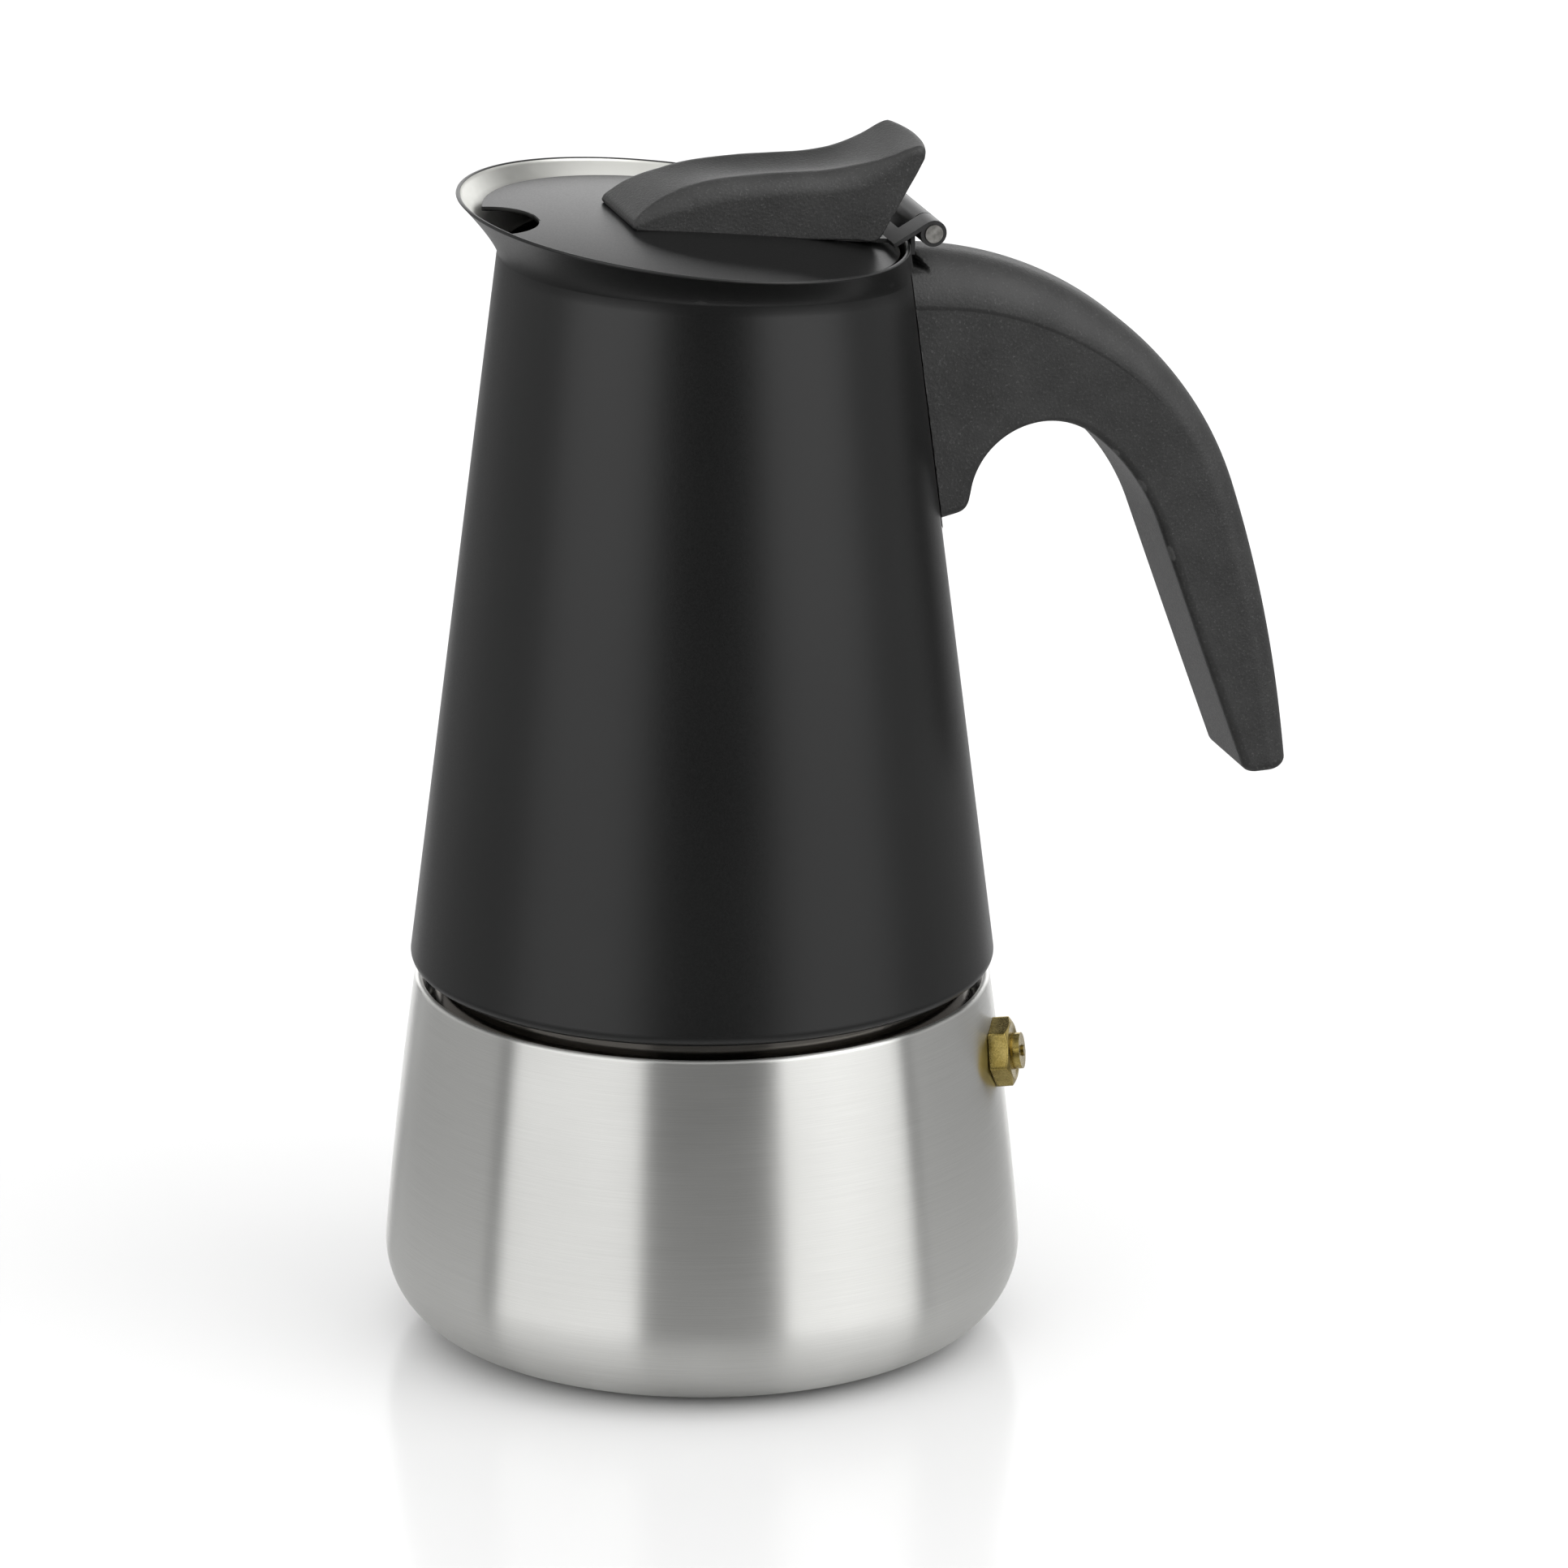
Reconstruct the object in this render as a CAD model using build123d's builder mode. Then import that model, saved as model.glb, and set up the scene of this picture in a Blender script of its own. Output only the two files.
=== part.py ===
from build123d import *
import os
from math import cos, radians, sin, sqrt, tan

os.makedirs("parts", exist_ok=True)

# Stovetop coffee maker.  Origin: centre of the base on the table.  +Z up, +X towards the handle,
# so the spout points to -X.  All sizes are in millimetres.

# ---------------------------------------------------------------- driving dimensions
# boiler
base_flat_radius = 38.3
base_corner_radius = 14.2
wall_lean = 4.9             # degrees the wall leans in where it leaves the base corner
boiler_mouth_radius = 47.5
boiler_height = 60.2        # top of the rolled rim
boiler_wall = 0.8
rim_width = 1.3             # rolled rim, across
rim_depth = 1.8             # rolled rim, down the inside

# screw thread between boiler and jug
neck_height = 10.8          # above the boiler's rim
neck_inset = 4.3            # from the boiler's mouth in to the core of the thread
neck_wall = 0.8
neck_step = 1.2             # plain band of the neck that shows in the gap, over the core
thread_pitch = 3.0
thread_height = 1.3         # root to crest
thread_play = 0.5           # crest to the other part's root
thread_root_width = 1.3
thread_crest_width = 0.7
thread_turns = 1.9
thread_start = 4.0          # middle of the first turn, above the rim

# funnel with the coffee basket
basket_radius = 34.0        # outside
basket_depth = 24.2
funnel_wall = 0.6
flange_thickness = 0.7
screen_ledge = 3.8
cone_drop = 6.8
tube_radius = 5.2
tube_clearance = 4.2        # from the tube's end to the boiler's floor
screen_thickness = 0.6

# seal
running_gap = 0.3           # between pieces that turn past each other
gasket_width = 9.2
gasket_lap = 0.5            # gasket outside the neck
gasket_thickness = 3.0
plate_thickness = 0.5
plate_lap = 3.0             # filter plate over the gasket
plate_headroom = 1.2        # from the filter plate to the jug's floor

# jug
jug_gap = 2.4               # from the boiler's rim to the jug's lower edge
jug_overhang = 0.55         # lower edge of the jug, outside the boiler's mouth
jug_foot_rounding = 1.75
jug_height = 111.8          # lower edge's rounding to the reference height of the cone
jug_top_radius = 34.25
jug_wall = 0.7
mouth_tilt = 6.9            # degrees, higher at the spout
mouth_rise = 12.05          # rim plane on the axis, above the cone's reference height
flare_height = 5.5
flare_bend = 1.3            # 1 is a straight flare, more is a hollow one
flare_long = 4.0874         # how far the rim stands out from the cone, along the handle's plane
flare_cross = 7.2374
rim_centre = -3.25          # towards the spout
floor_thickness = 0.8
thread_ring_land = 0.8      # plain land at the lower end of the jug's thread

# riser column
column_base_radius = 8.5
column_top_radius = 6.0
column_height = 68.4
column_wall = 0.7
column_flange_radius = 13.0
cap_height = 8.0
cap_lap = 3.0
cap_wall = 0.8
cap_slot_height = 2.4

# lid
lid_inset = 2.65            # lid's edge inside the rim
lid_shift = 1.35            # lid's centre, from the rim's centre towards the handle
lid_drop = 1.35             # lid's edge below the rim plane
lid_dome = 1.9
lid_thickness = 0.7
notch_half_width = 8.8
notch_depth = 7.7           # from the lid's edge
notch_corner = 5.5

# hinge
pin_radius = 1.5
strap_gap = 0.2434          # from the rim to the strap that carries the pin
pin_running_gap = 0.05
pin_press_gap = 0.01
hinge_sheet = 0.7
hinge_width = 23.0
knuckle_width = 12.5        # middle knuckle, on the jug
knuckle_gap = 0.3
pin_overhang = 0.3
leaf_reach = 6.8            # from the pin to where the leaf leaves the lid
leaf_foot_length = 9.0
leaf_foot_width = 16.0
leaf_slope = 28.5
foot_sink = 0.2794          # leaf's top at its bend, below the dome's top
leaf_slot_reach = 4.5       # from the pin to the end of the slot for the middle knuckle

# knob
knob_half_width = 9.5
knob_edge = 1.6
knob_rise = 10.05           # flat top above the lid's edge
knob_crown_radius = 63.9
knob_crown_reach = 28.3     # from the pin to the crown's centre
knob_screw_reach = (39.8, 23.8)
knob_screw_radius = 1.5
knob_screw_bite = 5.0
screw_play = 0.1
knob_screw_head_radius = 2.8
knob_screw_head = 1.2

# handle
handle_half_width = 9.6
handle_outer_edge = 4.6
handle_inner_edge = 1.6
handle_gap = 0.2            # from the handle to the jug's wall
handle_drop = 37.35         # arch's centre below the cone's reference height
arch_reach = 17.24          # arch's centre out from the jug's wall
arch_radius = 13.15
bracket_width = 12.0
bracket_band = 12.0         # height of the band under the tab
tab_width = 10.0
tab_rise = 19.2             # tab above the arch's centre
tab_thickness = 1.2
tab_length = 11.14          # out from the wall at the arch's height
handle_screw_reach = 7.74
handle_screw_radius = 2.0
handle_screw_head_radius = 3.6
handle_screw_head = 2.4
handle_screw_rise = 4.0     # screw's end above the tab
screw_land = 3.5            # from the arch to the screw's head
window_corners = ((-5.16, 40.2), (-2.66, 40.0), (-4.76, 43.5))

# safety valve
valve_angle = -27.0
valve_drop = 11.5           # below the rim
valve_across_flats = 10.0
valve_hex_height = 3.2
valve_hex_turn = 12.0
shank_radius = 3.9
shank_play = 0.1
shank_length = 5.6
spring_bore_radius = 2.6
seat_radius = 1.4
seat_thickness = 0.9
washer_radius = 6.0
washer_thickness = 1.0
washer_play = 0.132         # from the curved wall to the flat washer's edge
nut_across_flats = 11.0
nut_thickness = 2.4
cap_plug_length = 1.2
cap_stub_radius = 3.0
cap_stub_height = 1.4
stem_radius = 0.9
stem_play = 0.1
plunger_head_radius = 2.4
plunger_head = 1.0
spring_wire = 0.25
spring_turns = 4

# ---------------------------------------------------------------- worked-out sizes
neck_radius = boiler_mouth_radius - neck_inset
neck_step_radius = neck_radius + neck_step
jug_foot_radius = boiler_mouth_radius + jug_overhang
neck_base = boiler_height - rim_depth
neck_top = boiler_height + neck_height
flange_top = neck_top + flange_thickness
gasket_base = flange_top + running_gap
gasket_top = gasket_base + gasket_thickness
plate_top = gasket_top + plate_thickness
jug_base = boiler_height + jug_gap
cone_start = jug_base + jug_foot_rounding
cone_slope = (jug_foot_radius - jug_top_radius) / jug_height
cone_top = cone_start + jug_height
mouth_height = cone_top + mouth_rise
mouth_level_radius = jug_top_radius - mouth_rise * cone_slope
rim_long_radius = mouth_level_radius + flare_long
rim_cross_radius = mouth_level_radius + flare_cross
floor_base = plate_top + plate_headroom
floor_top = floor_base + floor_thickness
column_top = floor_top + column_height
root_radius = neck_radius + thread_height + thread_play
gasket_radius = neck_radius + gasket_lap
plate_radius = gasket_radius - gasket_width + plate_lap
basket_floor = neck_top - basket_depth
valve_height = boiler_height - valve_drop

tilt = radians(mouth_tilt)
mouth_x = (cos(tilt), 0, -sin(tilt))
mouth_normal = (sin(tilt), 0, cos(tilt))
lid_radius = rim_long_radius - lid_inset
lid_centre = rim_centre + lid_shift
lid_height = mouth_height - lid_drop
knuckle_radius = pin_radius + hinge_sheet
strap_x = (rim_centre + rim_long_radius) * cos(tilt) + strap_gap
pin_x = strap_x + knuckle_radius
slope = radians(leaf_slope)
leaf_foot_x = pin_x - leaf_reach
leaf_foot_z = lid_height - leaf_foot_x * tan(tilt) + lid_dome - foot_sink
pin_z = leaf_foot_z - knuckle_radius / cos(slope) + leaf_reach * tan(slope)
handle_z = cone_top - handle_drop
rim_plane = Plane(origin=(0, 0, mouth_height), x_dir=mouth_x, z_dir=mouth_normal)
neck_plane = rim_plane.offset(-flare_height)


def finish(builder, name):
    """Label a finished piece and write it."""
    builder.part.label = name
    export_step(builder.part, f"parts/{name}.step")


def ring(inner, outer, low, high):
    """A plain ring about Z, between two radii and two heights."""
    with BuildPart() as solid:
        with BuildSketch(Plane.XY.offset(low)):
            Circle(outer)
            if inner:
                Circle(inner, mode=Mode.SUBTRACT)
        extrude(amount=high - low)
    return solid.part


def cone_radius(height):
    """Radius of the jug's outer wall."""
    return jug_foot_radius - (height - cone_start) * cone_slope


def cone_solid(grow, low, high):
    """The jug's cone, grown by a thickness, between two heights."""
    with BuildPart() as solid:
        with BuildSketch(Plane.XZ):
            with BuildLine():
                low_edge = (cone_radius(low) + grow, low)
                high_edge = (cone_radius(high) + grow, high)
                Polyline((0, low), low_edge, high_edge, (0, high), close=True)
            make_face()
        revolve(axis=Axis.Z)
    return solid.part


def thread(root, crest, middle, turns):
    """One helical ridge, right-handed, from its root to its crest radius."""
    overlap = 0.2 if crest > root else -0.2
    with BuildPart() as ridge:
        with BuildLine() as path:
            Helix(thread_pitch, thread_pitch * turns, (root + crest) / 2, center=(0, 0, middle))
        with BuildSketch(Plane(origin=(0, 0, middle), x_dir=(1, 0, 0), z_dir=(0, -1, 0))):
            with BuildLine():
                Polyline(
                    (root - overlap, -thread_root_width / 2),
                    (crest, -thread_crest_width / 2),
                    (crest, thread_crest_width / 2),
                    (root - overlap, thread_root_width / 2),
                    close=True,
                )
            make_face()
        sweep(path=path.line, is_frenet=True)
    return ridge.part


def perforation(radius, pitch, rings, depth):
    """Rings of small holes through a plate, one in the middle."""
    Hole(radius, depth)
    for number in range(1, rings + 1):
        with PolarLocations(number * pitch, 6 * number):
            Hole(radius, depth)


handle_x = cone_radius(handle_z)
tab_height = handle_z + tab_rise
tab_reach = handle_x + tab_length
handle_screw_x = handle_x + handle_screw_reach
handle_screw_top = tab_height + handle_screw_rise
clear_above = 8             # cuts run this far past the mouth


# ---------------------------------------------------------------- boiler
rim_top_z = boiler_height - rim_width / 2
rim_foot = neck_base - (rim_width - boiler_wall)

with BuildPart() as boiler_shell:
    with BuildSketch(Plane.XZ):
        with BuildLine():
            floor_out = Line((0, 0), (base_flat_radius, 0))
            corner_out = JernArc(floor_out @ 1, (1, 0), base_corner_radius, 90 + wall_lean)
            wall_out = TangentArc(corner_out @ 1, (boiler_mouth_radius, rim_top_z), tangent=corner_out % 1)
            rim_in = boiler_mouth_radius - rim_width
            rim_top = (boiler_mouth_radius - rim_width / 2, boiler_height)
            ThreePointArc(wall_out @ 1, rim_top, (rim_in, rim_top_z))
            # the wall is an arc, so its centre gives the radius at any height
            wall_centre = wall_out.arc_center
            wall_reach = sqrt(wall_out.radius**2 - (rim_foot - wall_centre.Y) ** 2)
            wall_end = (wall_centre.X + wall_reach - boiler_wall, rim_foot)
            Polyline((rim_in, rim_top_z), (rim_in, neck_base), wall_end)
            floor_in = Line((0, boiler_wall), (base_flat_radius, boiler_wall))
            corner_in = JernArc(floor_in @ 1, (1, 0), base_corner_radius - boiler_wall, 90 + wall_lean)
            TangentArc(corner_in @ 1, wall_end, tangent=corner_in % 1)
            Line((0, 0), (0, boiler_wall))
        make_face()
    revolve(axis=Axis.Z)

    # valve's place on the wall, and the wall's normal there
    rise = valve_height - wall_centre.Y
    reach = sqrt(wall_out.radius**2 - rise**2)
    valve_radius = wall_centre.X + reach
    turn = radians(valve_angle)
    valve_normal = (cos(turn) * reach, sin(turn) * reach, rise)
    valve_plane = Plane(
        origin=(cos(turn) * valve_radius, sin(turn) * valve_radius, valve_height),
        x_dir=(-sin(turn), cos(turn), 0),
        z_dir=valve_normal,
    )
    with BuildSketch(valve_plane):
        Circle(shank_radius + shank_play)
    extrude(amount=4, both=True, mode=Mode.SUBTRACT)
finish(boiler_shell, "boiler_shell")

neck_bore = neck_radius - neck_wall
step_bore = neck_step_radius - neck_wall
with BuildPart() as boiler_neck:
    with BuildSketch(Plane.XZ):
        with BuildLine():
            Polyline(
                (rim_in, neck_base),
                (rim_in, neck_base + neck_wall),
                (neck_step_radius, neck_base + neck_wall),
                (neck_step_radius, jug_base + 0.1),
                (neck_radius, jug_base + 0.8),
                (neck_radius, neck_top),
                (neck_bore, neck_top),
                (neck_bore, jug_base + 0.5),
                (step_bore, jug_base - 0.2),
                (step_bore, neck_base),
                close=True,
            )
        make_face()
    revolve(axis=Axis.Z)
    add(thread(neck_radius, neck_radius + thread_height, boiler_height + thread_start, thread_turns))
finish(boiler_neck, "boiler_neck")

# ---------------------------------------------------------------- funnel
with BuildPart() as funnel:
    with BuildSketch(Plane.XZ):
        with BuildLine():
            Polyline(
                (neck_radius - 0.2, neck_top),
                (basket_radius, neck_top),
                (basket_radius, basket_floor),
                (basket_radius - screen_ledge, basket_floor),
                (tube_radius, basket_floor - cone_drop),
                (tube_radius, boiler_wall + tube_clearance),
                (tube_radius - funnel_wall, boiler_wall + tube_clearance),
                (tube_radius - funnel_wall, basket_floor - cone_drop + funnel_wall / 2),
                (basket_radius - screen_ledge - funnel_wall, basket_floor + funnel_wall),
                (basket_radius - funnel_wall, basket_floor + funnel_wall),
                (basket_radius - funnel_wall, flange_top),
                (neck_radius - 0.2, flange_top),
                close=True,
            )
        make_face()
    revolve(axis=Axis.Z)
finish(funnel, "funnel")

with BuildPart() as funnel_screen:
    with BuildSketch(Plane.XY.offset(basket_floor + funnel_wall)):
        Circle(basket_radius - funnel_wall - 0.1)
    extrude(amount=screen_thickness)
    with Locations((0, 0, basket_floor + funnel_wall + screen_thickness)):
        perforation(0.7, 5.4, 5, screen_thickness)
finish(funnel_screen, "funnel_screen")

# ---------------------------------------------------------------- seal
with BuildPart() as filter_gasket:
    add(ring(gasket_radius - gasket_width, gasket_radius, gasket_base, gasket_top))
finish(filter_gasket, "filter_gasket")

with BuildPart() as filter_plate:
    with BuildSketch(Plane.XY.offset(gasket_top)):
        Circle(plate_radius)
    extrude(amount=plate_thickness)
    with Locations((0, 0, plate_top)):
        perforation(0.6, 5.0, 6, plate_thickness)
finish(filter_plate, "filter_plate")


# ---------------------------------------------------------------- jug
def mouth_section(inset, share):
    """Half-lengths and centre of the mouth's outline, a share of the way up the flare.

    At 0 it is the slanted cut of the cone, at 1 the rim."""
    slant = cone_slope * tan(tilt)
    level = mouth_height - flare_height / cos(tilt)
    reach = cone_radius(level) - inset
    long_low = reach / (1 - slant**2) / cos(tilt)
    cross_low = reach / sqrt(1 - slant**2)
    axis_shift = flare_height * tan(tilt)     # where the axis meets the slanted cut, from its origin
    centre_low = reach * slant / (1 - slant**2) / cos(tilt) + axis_shift
    blend = share**flare_bend
    long_half = long_low + (rim_long_radius - inset - long_low) * blend
    cross_half = cross_low + (rim_cross_radius - inset - cross_low) * blend
    centre = centre_low + (rim_centre - centre_low) * blend
    return long_half, cross_half, centre


def jug_body(inset):
    """Everything inside the jug's outer surface, set in by a wall."""
    with BuildPart() as body:
        with BuildSketch(Plane.XZ):
            with BuildLine():
                corner = jug_foot_radius - jug_foot_rounding
                Line((0, jug_base), (corner - inset, jug_base))
                foot = TangentArc(
                    (corner - inset, jug_base), (jug_foot_radius - inset, cone_start), tangent=(1, 0)
                )
                above = mouth_height + clear_above
                Polyline(foot @ 1, (cone_radius(above) - inset, above), (0, above), (0, jug_base))
            make_face()
        revolve(axis=Axis.Z)
        split(bisect_by=neck_plane, keep=Keep.BOTTOM)
        for share in (0, 0.45, 1):
            long_half, cross_half, centre = mouth_section(inset, share)
            with BuildSketch(neck_plane.offset(flare_height * share)):
                with Locations((centre, 0)):
                    Ellipse(long_half, cross_half)
        loft(ruled=True)
    return body.part


jug_outer = jug_body(0)
jug_inner = jug_body(jug_wall)

with BuildPart() as jug_shell:
    add(jug_outer)
    add(jug_inner, mode=Mode.SUBTRACT)
finish(jug_shell, "jug_shell")

thread_bottom = jug_base + thread_ring_land
with BuildPart() as thread_ring:
    add(ring(root_radius, jug_foot_radius, thread_bottom, floor_base))
    add(ring(gasket_radius + running_gap, root_radius + 0.2, gasket_base - 0.1, floor_base))
    add(ring(plate_radius + 0.5, root_radius, gasket_top + running_gap, floor_base))
    add(jug_inner, mode=Mode.INTERSECT)
    female_middle = boiler_height + thread_start + thread_pitch / 2
    add(thread(root_radius, root_radius - thread_height, female_middle, thread_turns - 0.4))
finish(thread_ring, "thread_ring")

with BuildPart() as jug_floor:
    add(ring(column_base_radius - column_wall, jug_foot_radius, floor_base, floor_top))
    add(jug_inner, mode=Mode.INTERSECT)
finish(jug_floor, "jug_floor")

with BuildPart() as riser_column:
    with BuildSketch(Plane.XZ):
        with BuildLine():
            Polyline(
                (column_base_radius - column_wall, floor_top),
                (column_flange_radius, floor_top),
                (column_flange_radius, floor_top + column_wall),
                (column_base_radius, floor_top + column_wall),
                (column_top_radius, column_top),
                (column_top_radius - column_wall, column_top),
                close=True,
            )
        make_face()
    revolve(axis=Axis.Z)
finish(riser_column, "riser_column")

cap_base = column_top - cap_lap
cap_bore = column_top_radius + (column_base_radius - column_top_radius) / column_height * cap_lap
with BuildPart() as column_cap:
    with BuildSketch(Plane.XZ):
        with BuildLine():
            Polyline(
                (cap_bore, cap_base),
                (cap_bore + cap_wall, cap_base),
                (cap_bore + cap_wall, cap_base + cap_height - 2),
                (cap_bore - 1, cap_base + cap_height),
                (0, cap_base + cap_height),
                (0, cap_base + cap_height - cap_wall),
                (cap_bore - 1, cap_base + cap_height - cap_wall),
                (cap_bore, cap_base + cap_height - 2),
                close=True,
            )
        make_face()
    revolve(axis=Axis.Z)
    slot_middle = column_top + 0.3 + cap_slot_height / 2
    with Locations((0, 0, slot_middle)):
        Box(4 * cap_bore, 5, cap_slot_height, mode=Mode.SUBTRACT)
finish(column_cap, "column_cap")

# ---------------------------------------------------------------- hinge bracket and pin
strap_foot = cone_start + (jug_foot_radius - strap_x) / cone_slope


def knuckle(bore, half_low, half_high):
    """A curled knuckle round the pin, from one y to another."""
    with BuildPart() as solid:
        with BuildSketch(Plane(origin=(pin_x, half_high, pin_z), x_dir=(1, 0, 0), z_dir=(0, -1, 0))):
            Circle(knuckle_radius)
            Circle(bore, mode=Mode.SUBTRACT)
        extrude(amount=half_high - half_low)
    return solid.part


def wall_band(low, high, width, thickness):
    """A strip of sheet that lies on the jug's wall under the handle."""
    with BuildPart() as band:
        add(cone_solid(thickness, low, high))
        add(cone_solid(0, low - 1, high + 1), mode=Mode.SUBTRACT)
        with BuildSketch(Plane.XY.offset(low)):
            with Locations((jug_foot_radius, 0)):
                Rectangle(2 * jug_foot_radius - 20, width)
        extrude(amount=high - low, mode=Mode.INTERSECT)
    return band.part


with BuildPart() as hinge_bracket:
    add(wall_band(tab_height + 6, strap_foot + 0.6, bracket_width, hinge_sheet))
    with BuildSketch(Plane.XZ.offset(-knuckle_width / 2)):
        with Locations((strap_x + hinge_sheet / 2, (strap_foot + pin_z) / 2)):
            Rectangle(hinge_sheet, pin_z - strap_foot)
        with Locations((pin_x, pin_z)):
            Circle(pin_radius + pin_press_gap, mode=Mode.SUBTRACT)
    extrude(amount=knuckle_width)
    add(knuckle(pin_radius + pin_press_gap, -knuckle_width / 2, knuckle_width / 2))
    add(jug_outer, mode=Mode.SUBTRACT)
finish(hinge_bracket, "hinge_bracket")

pin_length = hinge_width + 2 * pin_overhang
with BuildPart() as hinge_pin:
    with BuildSketch(Plane(origin=(pin_x, pin_length / 2, pin_z), x_dir=(1, 0, 0), z_dir=(0, -1, 0))):
        Circle(pin_radius)
    extrude(amount=pin_length)
finish(hinge_pin, "hinge_pin")

# ---------------------------------------------------------------- handle
with BuildPart() as handle_bracket:
    add(wall_band(tab_height - bracket_band, tab_height + tab_thickness, tab_width, hinge_sheet))
    with BuildSketch(Plane.XY.offset(tab_height)):
        tab_start = cone_radius(tab_height)
        with Locations(((tab_start + tab_reach) / 2, 0)):
            Rectangle(tab_reach - tab_start, tab_width)
        with Locations((handle_screw_x, 0)):
            Circle(handle_screw_radius, mode=Mode.SUBTRACT)
    extrude(amount=tab_thickness)
    add(cone_solid(0, tab_height - bracket_band - 1, tab_height + 3), mode=Mode.SUBTRACT)
finish(handle_bracket, "handle_bracket")

arch_top = handle_z + sqrt(arch_radius**2 - (arch_reach - handle_screw_reach) ** 2)
handle_head_top = arch_top + screw_land
slot_bottom = tab_height - bracket_band - 0.5
upright = (Align.CENTER, Align.CENTER, Align.MIN)
hanging = (Align.CENTER, Align.CENTER, Align.MAX)

with BuildPart() as bracket_slot:
    add(cone_solid(hinge_sheet + handle_gap, slot_bottom, strap_foot + 3))
    with BuildSketch(Plane.XY.offset(slot_bottom)):
        with Locations((jug_foot_radius, 0)):
            Rectangle(2 * jug_foot_radius - 20, bracket_width + 2 * handle_gap)
    extrude(amount=60, mode=Mode.INTERSECT)
    strap_slot = knuckle_width + 2 * handle_gap
    with Locations((0, 0, strap_foot)):
        Box(2 * (strap_x + hinge_sheet + handle_gap), strap_slot, pin_z - strap_foot, align=upright)
    with Locations(((tab_reach + handle_gap) / 2, 0, tab_height - screw_play)):
        Box(tab_reach + handle_gap, tab_width + 2 * handle_gap, tab_thickness + 2 * screw_play, align=upright)

with BuildPart() as handle:
    # outline, from the point on the jug's wall at the height of the arch's centre
    handle_plane = Plane(origin=(handle_x, 0, handle_z), x_dir=(1, 0, 0), z_dir=(0, -1, 0))
    with BuildSketch(handle_plane):
        with BuildLine():
            back = ThreePointArc((-8.86, 42.2), (30.54, 28.8), (51.24, -2.0))
            grip_back = TangentArc(back @ 1, (60.74, -51.2), tangent=back % 1)
            arch = CenterArc((arch_reach, 0), arch_radius, 50, 122)
            grip_top = (37.34, -7.2)
            TangentArc(arch @ 0, grip_top, tangent=(sin(radians(50)), -cos(radians(50))))
            Polyline(grip_top, (52.44, -50.4), grip_back @ 1)
            Polyline(arch @ 1, (3.94, -0.7), (-8.86, -3.9), back @ 0)
        make_face()
    extrude(amount=handle_half_width, both=True)
    side_edges = edges().filter_by(lambda edge: abs(abs(edge.center().Y) - handle_half_width) < 0.01)
    fillet(side_edges.filter_by(GeomType.CIRCLE).filter_by(lambda edge: edge.length > 40), handle_outer_edge)
    side_edges = edges().filter_by(lambda edge: abs(abs(edge.center().Y) - handle_half_width) < 0.01)
    inner_arcs = side_edges.filter_by(GeomType.CIRCLE).filter_by(lambda edge: edge.length < 30)
    grip_x = handle_x + 36
    inner_lines = side_edges.filter_by(lambda edge: edge.center().X > grip_x and edge.length > 20)
    inner_lines = inner_lines.filter_by(GeomType.LINE)
    fillet(inner_arcs + inner_lines, handle_inner_edge)
    add(cone_solid(handle_gap, handle_z - 18, handle_z + 50), mode=Mode.SUBTRACT)
    add(bracket_slot.part, mode=Mode.SUBTRACT)
    # a small three-sided window at each side, into the strap's slot
    window_start = bracket_width / 2 + handle_gap
    window_depth = handle_half_width - window_start + 0.5
    for side in (1, -1):
        with BuildSketch(handle_plane.offset(side * window_start)):
            with BuildLine():
                Polyline(*window_corners, close=True)
            make_face()
        extrude(amount=side * window_depth, mode=Mode.SUBTRACT)
    with Locations((handle_screw_x, 0, handle_head_top)):
        Cylinder(handle_screw_head_radius + screw_play, 12, align=hanging, mode=Mode.SUBTRACT)
        hole_depth = handle_screw_top + 1 - handle_head_top
        Cylinder(handle_screw_radius + screw_play, hole_depth, align=upright, mode=Mode.SUBTRACT)
finish(handle, "handle")

with BuildPart() as handle_screw:
    with Locations((handle_screw_x, 0, handle_head_top)):
        Cylinder(handle_screw_head_radius, handle_screw_head, align=hanging)
        Cylinder(handle_screw_radius, handle_screw_top - handle_head_top, align=upright)
    with Locations((handle_screw_x, 0, handle_head_top - handle_screw_head + 0.5)):
        Box(5.2, 0.9, 1.2, align=hanging, mode=Mode.SUBTRACT)
        Box(0.9, 5.2, 1.2, align=hanging, mode=Mode.SUBTRACT)
finish(handle_screw, "handle_screw")

# ---------------------------------------------------------------- lid
lid_plane = Plane(origin=(0, 0, lid_height), x_dir=mouth_x, z_dir=mouth_normal)
lid_origin = lid_plane.from_local_coords((lid_centre, 0, 0))
lid_axis = Axis(lid_origin, mouth_normal)
lid_section = Plane(origin=lid_origin, x_dir=mouth_x, z_dir=(0, -1, 0))
knob_screw_x = [pin_x - reach for reach in knob_screw_reach]


def dome(rise, depth):
    """Solid under the lid's dome, moved along its normal, down to a depth."""
    with BuildPart() as solid:
        with BuildSketch(lid_section):
            with BuildLine():
                crown = TangentArc((0, lid_dome + rise), (lid_radius, rise), tangent=(1, 0))
                Polyline(crown @ 1, (lid_radius, -depth), (0, -depth), crown @ 0)
            make_face()
        revolve(axis=lid_axis)
    return solid.part


with BuildPart() as lid_disc:
    add(dome(0, lid_thickness))
    add(dome(-lid_thickness, lid_thickness + 2), mode=Mode.SUBTRACT)
    with BuildSketch(lid_plane.offset(-5)):
        with Locations((lid_centre - lid_radius + notch_depth - 10, 0)):
            RectangleRounded(20, 2 * notch_half_width, notch_corner)
    extrude(amount=10, mode=Mode.SUBTRACT)
    with Locations(*[lid_plane.offset(-5).location * Location((x, 0, 0)) for x in knob_screw_x]):
        Cylinder(knob_screw_radius + screw_play, 10, align=upright, mode=Mode.SUBTRACT)
finish(lid_disc, "lid_disc")

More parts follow.
